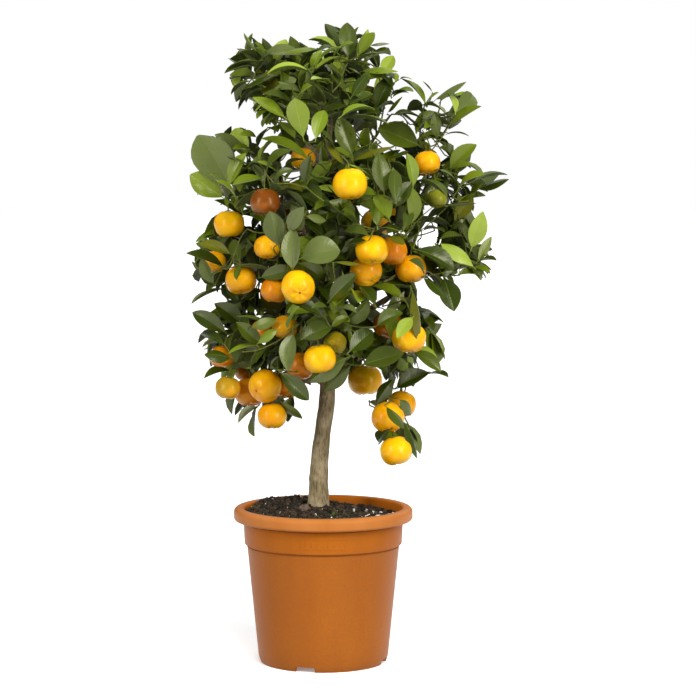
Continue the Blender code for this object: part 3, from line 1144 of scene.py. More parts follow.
@dataclass
class LeafTemplate:
    """The plain citrus leaf, 1 unit long: broad, with a blunt tip, a midrib and a short stalk."""

    rows: tuple[float, ...] = (-0.13, 0.0, 0.12, 0.32, 0.55, 0.77, 0.92, 1.0)
    inner: tuple[float, ...] = ()  # further lines of points between rib and margin, as shares
    half_width: float = 0.265
    rib: float = 0.009
    thickness: float = 0.009

    def half_width_at(self, t: float) -> float:
        """Returns half the width of the blade at a share of its length."""
        if t <= 0.0:
            return 0.016
        swell = sin(pi * min(t, 0.995) ** 0.96) ** 0.82
        return max(0.012, self.half_width * swell)

    def build(self) -> Template:
        """Shapes a grid to the leaf's outline and gives it its thickness.

        Returns:
            The leaf: slot 0 is its upper side, 1 its rib, 2 and 3 the same below.
        """
        long = len(self.rows) - 1
        shares = [-1.0, *(-share for share in reversed(self.inner)), 0.0, 0.0, *self.inner, 1.0]
        wide = len(shares) - 1
        leaf = primitive(bpy.ops.mesh.primitive_grid_add, x_subdivisions=wide, y_subdivisions=long,
                         size=2.0)
        columns = [round((v.co.x + 1.0) / 2.0 * wide) for v in leaf.data.vertices]
        lines = [round((v.co.y + 1.0) / 2.0 * long) for v in leaf.data.vertices]
        for face in leaf.data.polygons:
            stalk = min(lines[v] for v in face.vertices) == 0
            on_rib = all(shares[columns[v]] == 0.0 for v in face.vertices)
            face.material_index = int(stalk or on_rib)
        uvs = leaf.data.uv_layers[0].uv
        for loop in leaf.data.loops:
            share = shares[columns[loop.vertex_index]]
            uvs[loop.index].vector = (0.5 + share / 2, max(0.0, self.rows[lines[loop.vertex_index]]))
        for vertex, column, line in zip(leaf.data.vertices, columns, lines):
            t = self.rows[line]
            half = self.half_width_at(t)
            rib = min(self.rib * (1.2 - max(0.0, t)), half * 0.5)
            side = 1.0 if column > wide / 2 else -1.0
            vertex.co = (side * rib + shares[column] * (half - rib), t, 0.0)
        for _ in range(4):
            leaf.data.materials.append(None)
        plain = len(leaf.data.polygons)
        apply_modifier(leaf, "SOLIDIFY", thickness=self.thickness, offset=-1.0, material_offset=2,
                       material_offset_rim=0)
        for face in leaf.data.polygons[2 * plain:]:
            face.material_index = 1  # the margin is as pale as the rib
        return Template.taken_from(leaf)


@dataclass
class Leaf:
    """One leaf where it grows."""

    base: Vector
    heading: Vector
    face: Vector
    length: float
    tone: Tone
    width: float = 1.0
    curl: float = 0.35
    fold: float = 0.3
    twist: float = 0.0
    sweep: float = 0.0  # how far the tip swings aside
    full: float = 0.2  # above 0 the leaf is broadest near its tip, below 0 near its base

    def shaped(self, template: Template) -> np.ndarray:
        """Bends, folds and twists the plain leaf and lays it in its place.

        Args:
            template: the plain leaf.

        Returns:
            The leaf's points.
        """
        x, y, z = template.points.T
        x = x * self.width * (1.0 + self.full * (y - 0.5))
        x = x * (1.0 - 0.97 * y) ** (-0.4 * max(0.0, self.full - 0.3))  # rounds a full leaf's tip
        rise = np.abs(x) * self.fold + z
        turn = self.twist * y
        x, rise = x * np.cos(turn) - rise * np.sin(turn), x * np.sin(turn) + rise * np.cos(turn)
        bend = self.curl if abs(self.curl) > 0.02 else 0.02
        angle = bend * y
        along = np.sin(angle) / bend + rise * np.sin(angle)
        out = -(1.0 - np.cos(angle)) / bend + rise * np.cos(angle)
        x = x + self.sweep * y * y
        side = self.heading.cross(self.face).normalized()
        face = side.cross(self.heading).normalized()
        axes = np.array([side, self.heading, face])
        return np.array(self.base) + np.stack([x, along, out], 1) @ axes * self.length

    def slots(self, template: Template) -> np.ndarray:
        """Returns the material slot of each face, in the order of shared_leaf_materials."""
        tones = list(Tone)
        under = len(tones) + int(self.tone in (Tone.BRIGHT, Tone.PALE))
        return np.array([tones.index(self.tone), under + 2, under, under + 2])[template.slots]


@dataclass(frozen=True)
class SeenLeaf:
    """A leaf that stands out in the photograph: the pixels of its base and tip, and its tone."""

    base: Pair
    tip: Pair
    tone: Tone
    width: float  # as a share of a usual leaf's
    nearer: float = 4.0  # how far in front of the crown's skin it lies, in millimetres
    full: float = 0.2


@dataclass(frozen=True)
class SeenFruit:
    """A fruit that shows in the photograph: the pixel of its middle, its size and its colour."""

    middle: Pair
    size: float
    ripeness: Ripeness = Ripeness.RIPE
    deeper: float = 4.0  # how far behind the crown's skin it lies, in millimetres
    tilt_deg: float = 12.0  # how far its navel turns towards the viewer
    roll_deg: float = 0.0  # how far its navel swings to the right


_, D, B, G, M, O, I, L, P = Tone

# each tone is the green as the leaf shows, so the dark tones of leaves that lie in shade are partly painted
# shade
SEEN_LEAVES = [SeenLeaf((a, b), (c, d), tone, percent / 100, *rest)
               for a, b, c, d, tone, percent, *rest in (
    # crest
    (348, 56, 350, 22, B, 100), (360, 54, 373, 29, I, 85), (357, 56, 365, 25, P, 50),
    (371, 45, 390, 37, G, 50), (370, 55, 386, 47, M, 50), (362, 71, 394, 58, L, 50),
    (378, 53, 352, 55, I, 40), (384, 77, 360, 75, M, 90), (386, 80, 378, 68, O, 50),
    (312, 69, 318, 51, L, 80), (317, 62, 335, 41, L, 25), (318, 52, 334, 41, D, 70),
    (334, 56, 346, 36, L, 50), (318, 49, 289, 39, I, 40), (330, 82, 312, 74, P, 80, 10),
    (299, 105, 304, 79, L, 50), (303, 137, 294, 101, L, 102, 8, 0.7), (316, 138, 322, 108, L, 95),
    (352, 154, 340, 118, M, 100), (342, 116, 370, 98, L, 50), (344, 119, 388, 110, I, 35),
    (377, 107, 387, 77, D, 105), (346, 90, 337, 62, M, 70), (352, 96, 366, 72, D, 90),
    (361, 76, 354, 62, M, 50), (340, 80, 331, 64, B, 70), (325, 100, 316, 82, B, 60),
    # top left tuft
    (260, 59, 251, 34, L, 50), (265, 59, 262, 40, I, 50), (259, 62, 238, 45, B, 65),
    (258, 61, 223, 64, I, 45), (256, 66, 226, 68, D, 50), (250, 81, 229, 88, I, 60),
    (277, 74, 240, 76, D, 50), (263, 88, 240, 94, D, 55), (261, 103, 250, 107, D, 60),
    (276, 113, 259, 122, M, 60), (303, 56, 270, 41, G, 65), (308, 71, 269, 61, P, 48, 8),
    (275, 67, 287, 57, D, 60), (284, 117, 254, 95, L, 80), (292, 103, 268, 88, B, 80),
    (290, 85, 279, 79, G, 70), (278, 122, 296, 133, M, 90),
    # right plume
    (425, 103, 407, 73, I, 60), (426, 104, 435, 91, L, 120, 12), (436, 99, 460, 77, G, 60),
    (432, 91, 428, 79, D, 80), (455, 112, 450, 89, P, 70), (449, 126, 476, 102, I, 62),
    (445, 135, 467, 125, D, 15), (424, 105, 450, 103, I, 50), (424, 129, 438, 118, I, 110),
    (437, 138, 439, 117, M, 90), (420, 118, 397, 105, D, 50), (420, 130, 403, 109, D, 40),
    (436, 142, 449, 140, D, 30), (392, 95, 409, 83, I, 50), (393, 92, 389, 76, D, 50),
    (395, 82, 398, 71, L, 60), (400, 79, 411, 73, P, 35),
    # right shoulder
    (451, 169, 469, 142, I, 95), (458, 190, 476, 165, L, 42), (440, 170, 458, 177, G, 70),
    (474, 181, 505, 167, M, 42), (479, 189, 504, 177, D, 40), (471, 199, 476, 180, I, 90),
    (417, 181, 450, 186, M, 45), (413, 186, 412, 156, L, 65, 14), (418, 145, 380, 126, M, 120, 8),
    (354, 160, 387, 134, O, 42, 8), (390, 158, 404, 146, D, 60), (393, 97, 407, 86, D, 70),
    (388, 112, 397, 92, M, 70), (384, 192, 379, 153, B, 85), (448, 205, 473, 196, D, 60),
    (461, 200, 471, 190, M, 70),
    # right middle
    (472, 247, 483, 215, P, 100, 10), (473, 266, 450, 237, P, 95, 12, 0.4), (478, 261, 495, 239, I, 45),
    (472, 268, 490, 267, I, 90), (478, 262, 495, 255, D, 70), (444, 279, 455, 307, D, 135, 6, 0.3),
    (424, 278, 448, 289, D, 80), (418, 250, 458, 261, D, 80), (447, 259, 440, 242, B, 90, 8),
    (424, 230, 446, 222, M, 60), (462, 236, 441, 233, M, 70),
    # left shoulder
    (228, 186, 205, 134, G, 122, 8, 0.5), (222, 197, 192, 175, L, 110, 8, 0.6),
    (229, 185, 239, 155, L, 58, 12), (246, 149, 220, 131, G, 90), (250, 165, 229, 150, D, 50),
    (253, 152, 238, 140, I, 80), (256, 137, 243, 131, L, 110), (258, 146, 264, 125, G, 45),
    (260, 160, 268, 137, I, 45), (267, 169, 280, 144, M, 90), (308, 159, 266, 133, L, 55),
    (305, 160, 284, 158, D, 50), (323, 172, 319, 147, L, 80, 8), (262, 178, 236, 178, I, 100),
    (275, 181, 286, 166, M, 70), (285, 182, 291, 169, I, 70), (325, 138, 347, 158, O, 40),
    (305, 184, 304, 160, D, 70, 24), (326, 184, 308, 166, D, 75, 22), (334, 150, 328, 128, B, 80),
    (236, 198, 224, 176, L, 35), (219, 186, 215, 170, L, 30, 10),
    # middle of the crown
    (279, 245, 272, 214, B, 130, 8), (289, 231, 299, 208, G, 115, 8), (293, 268, 289, 232, G, 100, 10),
    (302, 258, 338, 245, G, 160, 8), (396, 200, 392, 168, B, 80), (391, 207, 411, 184, D, 100),
    (389, 219, 376, 192, I, 115), (404, 229, 411, 205, B, 80), (412, 222, 418, 190, I, 85),
    (368, 235, 342, 225, B, 90), (366, 241, 345, 244, D, 80), (307, 216, 328, 218, G, 95),
    (336, 262, 360, 258, O, 70), (389, 236, 403, 243, O, 110, 13, 0.6), (424, 274, 417, 255, B, 90, 22),
    (330, 300, 352, 276, D, 100), (322, 316, 296, 300, D, 100), (336, 310, 355, 304, G, 80),
    (327, 307, 314, 304, B, 110), (332, 326, 343, 317, I, 120), (375, 305, 360, 282, D, 90),
    (322, 199, 308, 182, D, 80), (356, 222, 348, 206, M, 90),
    # left middle and lower left
    (277, 262, 271, 237, D, 70, 24), (228, 266, 211, 272, D, 60, 22), (240, 266, 236, 277, M, 100, 26),
    (230, 254, 203, 240, O, 80, 18), (223, 267, 192, 245, D, 55, 20), (213, 283, 200, 261, M, 70, 14),
    (222, 289, 190, 297, G, 50), (229, 268, 273, 262, M, 50, 18), (240, 262, 231, 238, B, 80),
    (262, 277, 290, 269, B, 70, 18), (278, 316, 263, 294, O, 115, 8), (272, 326, 240, 311, I, 55, 26),
    (252, 328, 271, 322, I, 50, 28), (258, 343, 270, 328, L, 90, 28), (243, 298, 257, 287, D, 100),
    (225, 332, 196, 309, D, 80), (222, 343, 201, 328, D, 80), (241, 323, 219, 303, D, 110),
    (230, 358, 209, 350, D, 130, 24), (231, 372, 205, 368, M, 60), (262, 347, 230, 343, L, 65, 8),
    (262, 344, 238, 325, M, 90, 8), (288, 328, 294, 304, L, 55, 26), (293, 334, 281, 366, G, 95, 8),
    (304, 338, 328, 323, B, 140, 8), (281, 373, 309, 399, D, 75, 12), (281, 402, 298, 425, M, 45),
    (346, 358, 306, 377, B, 90), (350, 366, 321, 391, M, 80), (252, 360, 258, 345, D, 80, 20),
    # lower right
    (413, 292, 431, 343, O, 55), (378, 325, 397, 310, M, 125, 14), (412, 318, 397, 333, P, 120, 22),
    (350, 351, 373, 329, D, 120), (364, 364, 402, 352, B, 110), (414, 351, 442, 366, M, 90),
    (422, 376, 447, 365, D, 50), (397, 387, 424, 369, D, 110), (393, 380, 372, 402, D, 100),
    (387, 407, 406, 421, B, 90, 22), (390, 430, 369, 442, D, 90), (400, 400, 416, 416, M, 80),
    (405, 423, 422, 454, D, 60),
)]


@dataclass(frozen=True)
class SeenTwig:
    """A bare twig that shows in the photograph: the pixels that it passes and its thickness."""

    route: tuple[Pair, ...]
    thick: float = 1.6
    nearer: float = 0.0


SEEN_TWIGS = [
    SeenTwig(((346, 206), (333, 186), (323, 171)), 2.0, 2.0),
    SeenTwig(((302, 322), (281, 339), (258, 350), (242, 352)), 2.0, 14.0),
    SeenTwig(((420, 140), (421, 122), (425, 103)), 2.4),
    SeenTwig(((420, 277), (444, 272), (458, 264), (472, 267)), 1.8, 2.0),
    SeenTwig(((430, 152), (440, 140), (449, 126)), 1.6),
    SeenTwig(((404, 236), (420, 218), (434, 206)), 1.8),
    SeenTwig(((406, 242), (424, 228), (446, 208)), 1.4),
    SeenTwig(((388, 186), (369, 170), (370, 140)), 2.4, -16.0),
]

RIPE, YELLOW, AMBER, DEEP, HALF, SHADED, TURNING, GREEN = Ripeness

SEEN_FRUIT = [SeenFruit((x, y), *rest) for x, y, *rest in (
    (350, 184, 37, YELLOW), (427, 163, 29), (229, 224, 33, YELLOW), (265, 202, 32, SHADED, 18),
    (267, 247, 28, RIPE, 24), (241, 280, 34), (214, 262, 27, RIPE, 24), (298, 287, 36, YELLOW, 4, 66, 6),
    (275, 290, 31, AMBER, 10), (263, 331, 27, AMBER, 24), (285, 327, 28, RIPE, 24),
    (320, 359, 35, YELLOW, 4, 5), (335, 343, 25, TURNING, 4, 74), (372, 250, 35, YELLOW, 4, 20),
    (366, 271, 35, RIPE, 4, 25, 20), (392, 251, 33, AMBER, 9), (411, 269, 34), (437, 199, 22, GREEN),
    (409, 338, 37, YELLOW), (388, 325, 33, DEEP, 32), (365, 380, 40, YELLOW), (388, 417, 37),
    (396, 451, 36, YELLOW), (228, 388, 28, HALF), (265, 386, 37, RIPE, 4, 60, -30), (250, 392, 35, AMBER),
    (286, 385, 33, DEEP, 10), (272, 416, 32), (222, 357, 27, AMBER, 24), (300, 366, 32, DEEP, 38),
    (303, 159, 27, RIPE, 24), (402, 404, 32, RIPE, 34), (246, 371, 26, DEEP, 32),
)]

# where the sky shows through the crown: pixels across and down, and a radius in pixels
OPENINGS = np.array((
    (402, 88, 8), (402, 46, 9), (399, 113, 6), (414, 123, 5), (441, 111, 4), (462, 138, 7), (478, 158, 5),
    (444, 158, 4), (462, 173, 4), (401, 161, 4), (381, 121, 4), (364, 139, 4), (366, 90, 3), (307, 94, 3),
    (327, 54, 3), (268, 136, 5), (239, 160, 4), (385, 150, 5), (286, 160, 5), (291, 175, 5),
    (250, 221, 5), (211, 207, 7), (312, 229, 3), (342, 168, 3), (429, 232, 8), (420, 241, 5),
    (386, 298, 5), (472, 281, 7), (424, 290, 8), (434, 304, 6), (379, 308, 5), (216, 300, 6),
    (212, 312, 5), (426, 368, 7), (303, 392, 8), (218, 116, 10), (352, 412, 12),
))


# Crown


@dataclass
class Mass:
    """One mass of foliage from the frame, as a skin to grow towards."""

    name: str

    def __post_init__(self) -> None:
        """Reads the mass from the node of its name."""
        self.skin = skin_of(self.name)
        self.middle = Vector(mesh_points(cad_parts[self.name].data).mean(0))
        self.leaves: list[tuple[Leaf, Twig, int]] = []

    def reach(self, direction: Vector) -> float:
        """Returns how far the skin lies from the middle in a direction."""
        return self.skin.ray_cast(self.middle, direction)[3] or 0.03


@dataclass
class Twig:
    """One twig: its path and thickness, what bears it, and how far along it anything grows."""

    path: list[Vector]
    radii: list[float]
    bearer: int
    joint: int
    used: int = 0


@dataclass
class Wood:
    """All the wood that a shoot can grow from: points with headings, radii and their twig."""

    room: int = 60000  # how many points there may be

    def __post_init__(self) -> None:
        """Makes room for the points."""
        self.points, self.headings = np.zeros((2, self.room, 3))
        self.radii = np.zeros(self.room)
        self.twig = np.full(self.room, -1)
        self.place = np.zeros(self.room, int)
        self.count = 0

    def add(self, path: list[Vector], radii: list[float], twig: int = -1) -> None:
        """Adds the points of a limb or a twig.

        Args:
            path: its points.
            radii: its radius at each.
            twig: the twig's number, or -1 for a limb.
        """
        for index, point in enumerate(path):
            self.points[self.count] = point
            self.headings[self.count] = heading_at(path, index)
            self.radii[self.count] = radii[index]
            self.twig[self.count] = twig
            self.place[self.count] = index
            self.count += 1

    def costs(self, target: Vector, first: int = 0, least: float = 0.0) -> np.ndarray:
        """Works out how far off each point is, less where it heads for the target.

        Args:
            target: where a shoot goes.
            first: the first point that counts.
            least: how near the wood may be.

        Returns:
            A cost for each point.
        """
        away = np.array(target) - self.points[first:self.count]
        distance = np.linalg.norm(away, axis=1)
        ahead = (away * self.headings[first:self.count]).sum(1) / np.maximum(distance, 1e-6)
        cost = distance * (1.25 - 0.25 * ahead)
        cost[distance < least] = 9.0
        return cost

    def nearest(self, target: Vector, first: int = 0, least: float = 0.0) -> int:
        """Returns the index of the point that a shoot to a place grows from."""
        return first + int(np.argmin(self.costs(target, first, least)))

    def origin(self, index: int) -> tuple[int, int]:
        """Returns which twig a point lies on, and its place along it."""
        return int(self.twig[index]), int(self.place[index])


@dataclass
class Crown:
    """The crown: twigs, leaves and fruit, grown mass by mass from the limbs."""

    view: Viewpoint
    seed: int = 7
    spacing: float = 32.0  # between the ends of neighbouring shoots
    tip_room: float = 25.0  # from a shoot's end to the skin, where its last leaves reach
    # shoots this deep get the greens of painted shade
    shade_depth: float = 26.0  # how deep in the crown a shoot counts as shaded
    leaf_pitch: float = 11.0
    leafy: float = 70.0  # how much of a shoot's end bears leaves
    leaf_length: float = 43.0
    core: tuple[float, float, float] = (14.0, 14.0, 440.0)
    usual_width: float = 0.8  # a seen leaf that looks narrower is turned about its midrib
    most_turned: float = 1.1
    slack: float = 6.0  # how far out of the masses' skins a leaf may reach
    open_right_px: Pair = (415.0, 300.0)  # right of it and above it the sky shows

    def __post_init__(self) -> None:
        """Starts the random draws and the empty stores."""
        self.random = random.Random(self.seed)
        noise.seed_set(self.seed)  # noise vectors start from the clock otherwise
        self.wood = Wood()
        self.masses: list[Mass] = []
        self.ways_out = self.directions(20)
        self.twigs: list[Twig] = []
        self.fruit: list[tuple[Vector, float, Ripeness, Vector]] = []
        self.seen: list[tuple[Leaf, Mass, float]] = []

    def jitter(self, amount: float) -> Vector:
        """Returns a small random offset."""
        draw = self.random.gauss
        return Vector((draw(0, amount), draw(0, amount), draw(0, amount)))

    def grow_twig(self, index: int, end: Vector, tip: float, last: Vector | None = None) -> Twig:
        """Grows a curved twig from the wood to a place.

        Args:
            index: the point of the wood that it leaves.
            end: where it goes.
            tip: its radius at its tip, in millimetres.
            last: its heading at its end, or none where it comes straight.

        Returns:
            The twig.
        """
        start, heading = Vector(self.wood.points[index]), Vector(self.wood.headings[index])
        away = end - start
        length = max(away.length, 1e-4)
        aim = away.normalized()
        first = (heading * 0.55 + aim + self.jitter(0.14)).normalized()
        final = ((last or aim) + aim * 0.35).normalized()
        leave = start + first * length * 0.36
        arrive = end - final * length * 0.36
        count = max(4, round(length / (7.0 * MM)))
        wander = self.random.random() * 100.0
        path = []
        for t in (i / count for i in range(count + 1)):
            sway = noise.noise_vector((wander, 0.0, t * length / (26.0 * MM))) * 2.2 * MM * sin(pi * t)
            path.append(start * (1 - t) ** 3 + leave * 3 * t * (1 - t) ** 2
                        + arrive * 3 * t * t * (1 - t) + end * t**3 + sway)
        thick = min(tip + 0.012 * (end - path[0]).length / MM, self.wood.radii[index] / MM * 0.9)
        thick = max(thick, tip)
        radii = [(thick + (tip - thick) * i / count) * MM for i in range(count + 1)]
        twig = Twig(path, radii, *self.wood.origin(index))
        self.keep_twig(twig)
        return twig

    def keep_twig(self, twig: Twig) -> None:
        """Adds a twig to the crown, and its points to the wood that others can grow from."""
        self.wood.add(twig.path, twig.radii, len(self.twigs))
        self.twigs.append(twig)

    def outward(self, point: Vector) -> Vector:
        """Returns the direction out of the crown at a place, rising towards its top."""
        core = mm(*self.core)
        core.z = core.z * 0.5 + point.z * 0.5
        return (point - core).normalized()

    def depth_at(self, place: Vector) -> float:
        """Returns how deep a place lies in the crown: the shortest way out past all masses."""
        least = 1.0
        for direction in self.ways_out:
            gone = 0.0
            hit = self.skin.ray_cast(place, direction)[3]
            while hit is not None and gone < least:
                gone += hit + 0.2 * MM
                hit = self.skin.ray_cast(place + direction * gone, direction)[3]
            least = min(least, gone)
        return least

    def growth_heading(self, place: Vector) -> Vector:
        """Returns where a shoot heads at its end: up to the light, or down where it hangs."""
        height = place.z / MM
        rise = 0.95 * smooth((height - 330.0) / 260.0) - 0.4 * (1.0 - smooth((height - 270.0) / 110.0))
        return (self.outward(place) * 0.85 + UP * rise + self.jitter(0.24)).normalized()

    def spray_tone(self, point: Vector, deep: bool) -> Tone:
        """Deals a shoot its green: inside the crown one of the two darkest, as painted shade; outside,
        lighter near the top and darker below, partly as young growth and partly as painted light from
        above.

        Args:
            point: where the shoot ends.
            deep: whether it lies inside the crown.

        Returns:
            The tone that the shoot's leaves share.
        """
        height = (point.z / MM - 280.0) / 420.0
        draw = self.random.random()
        # painted shade: shoots inside the crown get the two darkest greens
        if deep:
            return Tone.SHADE if draw < 0.35 else Tone.DARK
        # the lift with height is partly young growth and partly painted light from above
        light = draw + 0.28 * (height - 0.5)
        # G, the greyed green, is a painted sheen
        limits = {0.18: D, 0.32: B, 0.44: M, 0.55: G, 0.62: O, 0.84: I, 0.98: L}
        return next((tone for limit, tone in limits.items() if light < limit), P)

    def leaf_at(self, base: Vector, stem: Vector, turn: float, angle_deg: float, length: float,
                tone: Tone, droop: float) -> Leaf:
        """Makes one leaf on a shoot.

        Args:
            base: where its stalk leaves the shoot.
            stem: the shoot's heading there.
            turn: its angle round the shoot, in radians.
            angle_deg: how far it stands off the shoot.
            length: its length in millimetres.
            tone: its green.
            droop: how far its heading falls.

        Returns:
            The leaf.
        """
        side = stem.orthogonal().normalized()
        radial = Quaternion(stem, turn) @ side
        angle = radians(angle_deg)
        outward = self.outward(base)
        heading = stem * cos(angle) + radial * sin(angle)
        heading = (heading + outward * 0.15 - UP * droop + self.jitter(0.16)).normalized()
        face = outward * 0.5 + UP * 0.75 + self.jitter(0.42)
        face = face - heading * face.dot(heading)
        if face.length < 0.1:
            face = heading.orthogonal()
        draw = self.random
        return Leaf(base, heading, face.normalized(), length * MM, tone, width=draw.uniform(0.78, 1.08),
                    curl=draw.uniform(0.1, 1.1), fold=draw.uniform(0.3, 0.85), twist=draw.gauss(0, 0.25),
                    sweep=draw.gauss(0, 0.08), full=draw.uniform(-0.3, 0.6))

    def dress_shoot(self, mass: Mass, twig: Twig, tone: Tone, deep: bool) -> None:
        """Sets leaves along the end of a shoot, with a whorl of smaller ones at its tip.

        Args:
            mass: the mass that the leaves belong to.
            twig: the shoot.
            tone: the shoot's green.
            deep: whether it lies inside the crown.
        """
        path = twig.path
        lengths = distances(path)
        total = lengths[-1]
        place = max(total * 0.15, total - self.leafy * MM)
        turn = self.random.uniform(0.0, tau)
        droop = 0.2 - 0.35 * smooth((path[-1].z / MM - 380.0) / 260.0)
        points = np.array(path)
        while place < total - 3.0 * MM:
            base = Vector([np.interp(place, lengths, points[:, k]) for k in range(3)])
            index = min(int(np.searchsorted(lengths, place)), len(path) - 1)
            stem = (path[index] - path[max(index - 1, 0)]).normalized()
            near_tip = 1.0 - (total - place) / (self.leafy * MM)
            angle = 72.0 - 24.0 * near_tip + self.random.gauss(0, 12)
            length = self.leaf_length * self.random.uniform(0.75, 1.15) * (1.0 - 0.12 * near_tip)
            mass.leaves.append((self.leaf_at(base, stem, turn, angle, length, tone, droop), twig, index))
            turn += radians(137.5 + self.random.gauss(0, 16))
            place += self.leaf_pitch * MM * self.random.uniform(0.75, 1.3)
        stem = (path[-1] - path[-2]).normalized()
        whorl = 1 if deep else self.random.choice((2, 3, 3))
        tones = list(Tone)
        young = tones[min(tones.index(tone) + 1, len(tones) - 1)] if self.random.random() < 0.4 else tone
        for k in range(whorl):
            length = self.leaf_length * self.random.uniform(0.66, 0.92)
            base = path[-1] - stem * (k * 1.6 * MM)
            angle = self.random.uniform(16, 44)
            leaf = self.leaf_at(base, stem, turn, angle, length, young, droop * 0.6)
            mass.leaves.append((leaf, twig, len(path) - 1))
            turn += radians(137.5)

    def directions(self, count: int) -> list[Vector]:
        """Returns directions spread evenly over a sphere, each a little off."""
        start = self.random.uniform(0.0, tau)
        spread = []
        for i in range(count):
            z = 1.0 - 2.0 * (i + 0.5) / count
            ring = sqrt(1.0 - z * z)
            turn = start + GOLDEN_TURN * i
            flat = Vector((ring * cos(turn), ring * sin(turn), z))
            spread.append((flat + self.jitter(0.12)).normalized())
        return spread

    def grow_mass(self, mass: Mass, bough: Limb | None) -> None:
        """Grows one mass: a leading twig to its middle, then shoots to its outer skin.

        Args:
            mass: the mass.
            bough: the bough that enters it, or none.
        """
        if bough:
            tip = self.wood.nearest(bough.path[-1])
            self.wood.headings[tip] = (bough.path[-1] - bough.path[-2]).normalized()
        else:
            tip = self.wood.nearest(mass.middle, least=12.0 * MM)
        first = self.wood.count
        self.grow_twig(tip, mass.middle, 1.25)
        sizes = [mass.reach(d) for d in self.directions(120)]
        mean = sum(sizes) / len(sizes)
        count = round(4 * pi * (mean / (self.spacing * MM)) ** 2 * 1.12)
        targets = []
        for direction in self.directions(max(10, count)):
            edge = mass.middle + direction * (mass.reach(direction) - 2.0 * MM)
            depth = self.depth_at(edge)
            deep = depth > self.shade_depth * MM
            if deep and self.random.random() < (0.15 if depth < 55.0 * MM else 0.5):
                continue
            heading = self.growth_heading(edge)
            end = edge - heading * (10.0 if deep else self.tip_room) * MM
            targets.append(((end - mass.middle).length, end, heading, deep))
        targets.sort(key=lambda target: target[0])
        for _, end, heading, deep in targets:
            index = self.wood.nearest(end - heading * 18.0 * MM, first, least=12.0 * MM)
            shoot = self.grow_twig(index, end, 0.75, heading)
            self.dress_shoot(mass, shoot, self.spray_tone(end, deep), deep)

    # What the photograph shows

    def front(self, px: Pair) -> tuple[float, Mass]:
        """Finds how far along a sight the crown's front lies.

        Args:
            px: the pixel that is looked through.

        Returns:
            The distance from the camera in metres, and the mass that is met or passed nearest.
        """
        eye, sight = self.view.eye, self.view.sight(px)
        met = [(mass.skin.ray_cast(eye, sight)[3], mass) for mass in self.masses]
        met = [pair for pair in met if pair[0]]
        if met:
            return min(met, key=lambda pair: pair[0])
        passed = [((mass.middle - eye).dot(sight), mass) for mass in self.masses]
        return min(passed, key=lambda pair: pair[1].skin.find_nearest(eye + sight * pair[0])[3])

    def set_seen_fruit(self) -> None:
        """Places the fruit of the photograph, each pushed back until it is clear of the others."""
        for fruit in SEEN_FRUIT:
            radius = fruit.size / 2 * MM
            distance = self.front(fruit.middle)[0] + fruit.deeper * MM
            place = self.view.at(fruit.middle, distance)
            while any((place - other[0]).length < radius + other[1] for other in self.fruit):
                distance += 1.5 * MM
                place = self.view.at(fruit.middle, distance)
            tilt = radians(fruit.tilt_deg + self.random.gauss(0, 5))
            roll = radians(fruit.roll_deg + self.random.gauss(0, 7))
            navel = Vector((sin(roll), -sin(tilt), -cos(tilt) * cos(roll)))
            self.fruit.append((place, radius, fruit.ripeness, navel.normalized()))

    def set_other_fruit(self, count: int) -> None:
        """Adds fruit where the photograph doesn't look: on the back and the sides.

        Args:
            count: how many there are at most.
        """
        placed = 0
        for i in range(count * 4):
            if placed == count:
                break
            turn = GOLDEN_TURN * i + self.random.uniform(-0.3, 0.3)
            rise = 290.0 + 330.0 * ((i * 0.618) % 1.0)
            aim = Vector((sin(turn), -cos(turn), 0.0))
            if aim.y < -0.35:
                continue
            start = mm(14.0, 14.0, rise) + aim * 0.5
            met = [mass.skin.ray_cast(start, -aim)[3] for mass in self.masses]
            met = [distance for distance in met if distance]
            if not met:
                continue
            radius = self.random.uniform(15.5, 19.0) * MM
            place = start - aim * (min(met) + 6.0 * MM)
            if any((place - other[0]).length < radius + other[1] + 4.0 * MM for other in self.fruit):
                continue
            across, down, _ = self.view.pixel(place)
            open_air = across > self.open_right_px[0] and down < self.open_right_px[1]
            if open_air or not self.behind_leaves(place, radius):
                continue
            kind = self.random.choice((YELLOW, RIPE, RIPE, DEEP, TURNING))
            navel = (aim * 0.25 - UP + self.jitter(0.15)).normalized()
            self.fruit.append((place, radius, kind, navel))
            placed += 1

    def behind_leaves(self, place: Vector, radius: float) -> bool:
        """Tells whether a fruit is well hidden from the photograph's viewpoint.

        Args:
            place: the fruit's middle, in metres.
            radius: its radius, in metres.

        Returns:
            True when masses lie well in front of its middle and of its sides.
        """
        for aside, above in product((0.0, -radius, radius), repeat=2):
            away = place + Vector((aside, 0.0, above)) - self.view.eye
            met = self.skin.ray_cast(self.view.eye, away.normalized())[3]
            if met is None or met > away.length - 60.0 * MM:
                return False
        return True

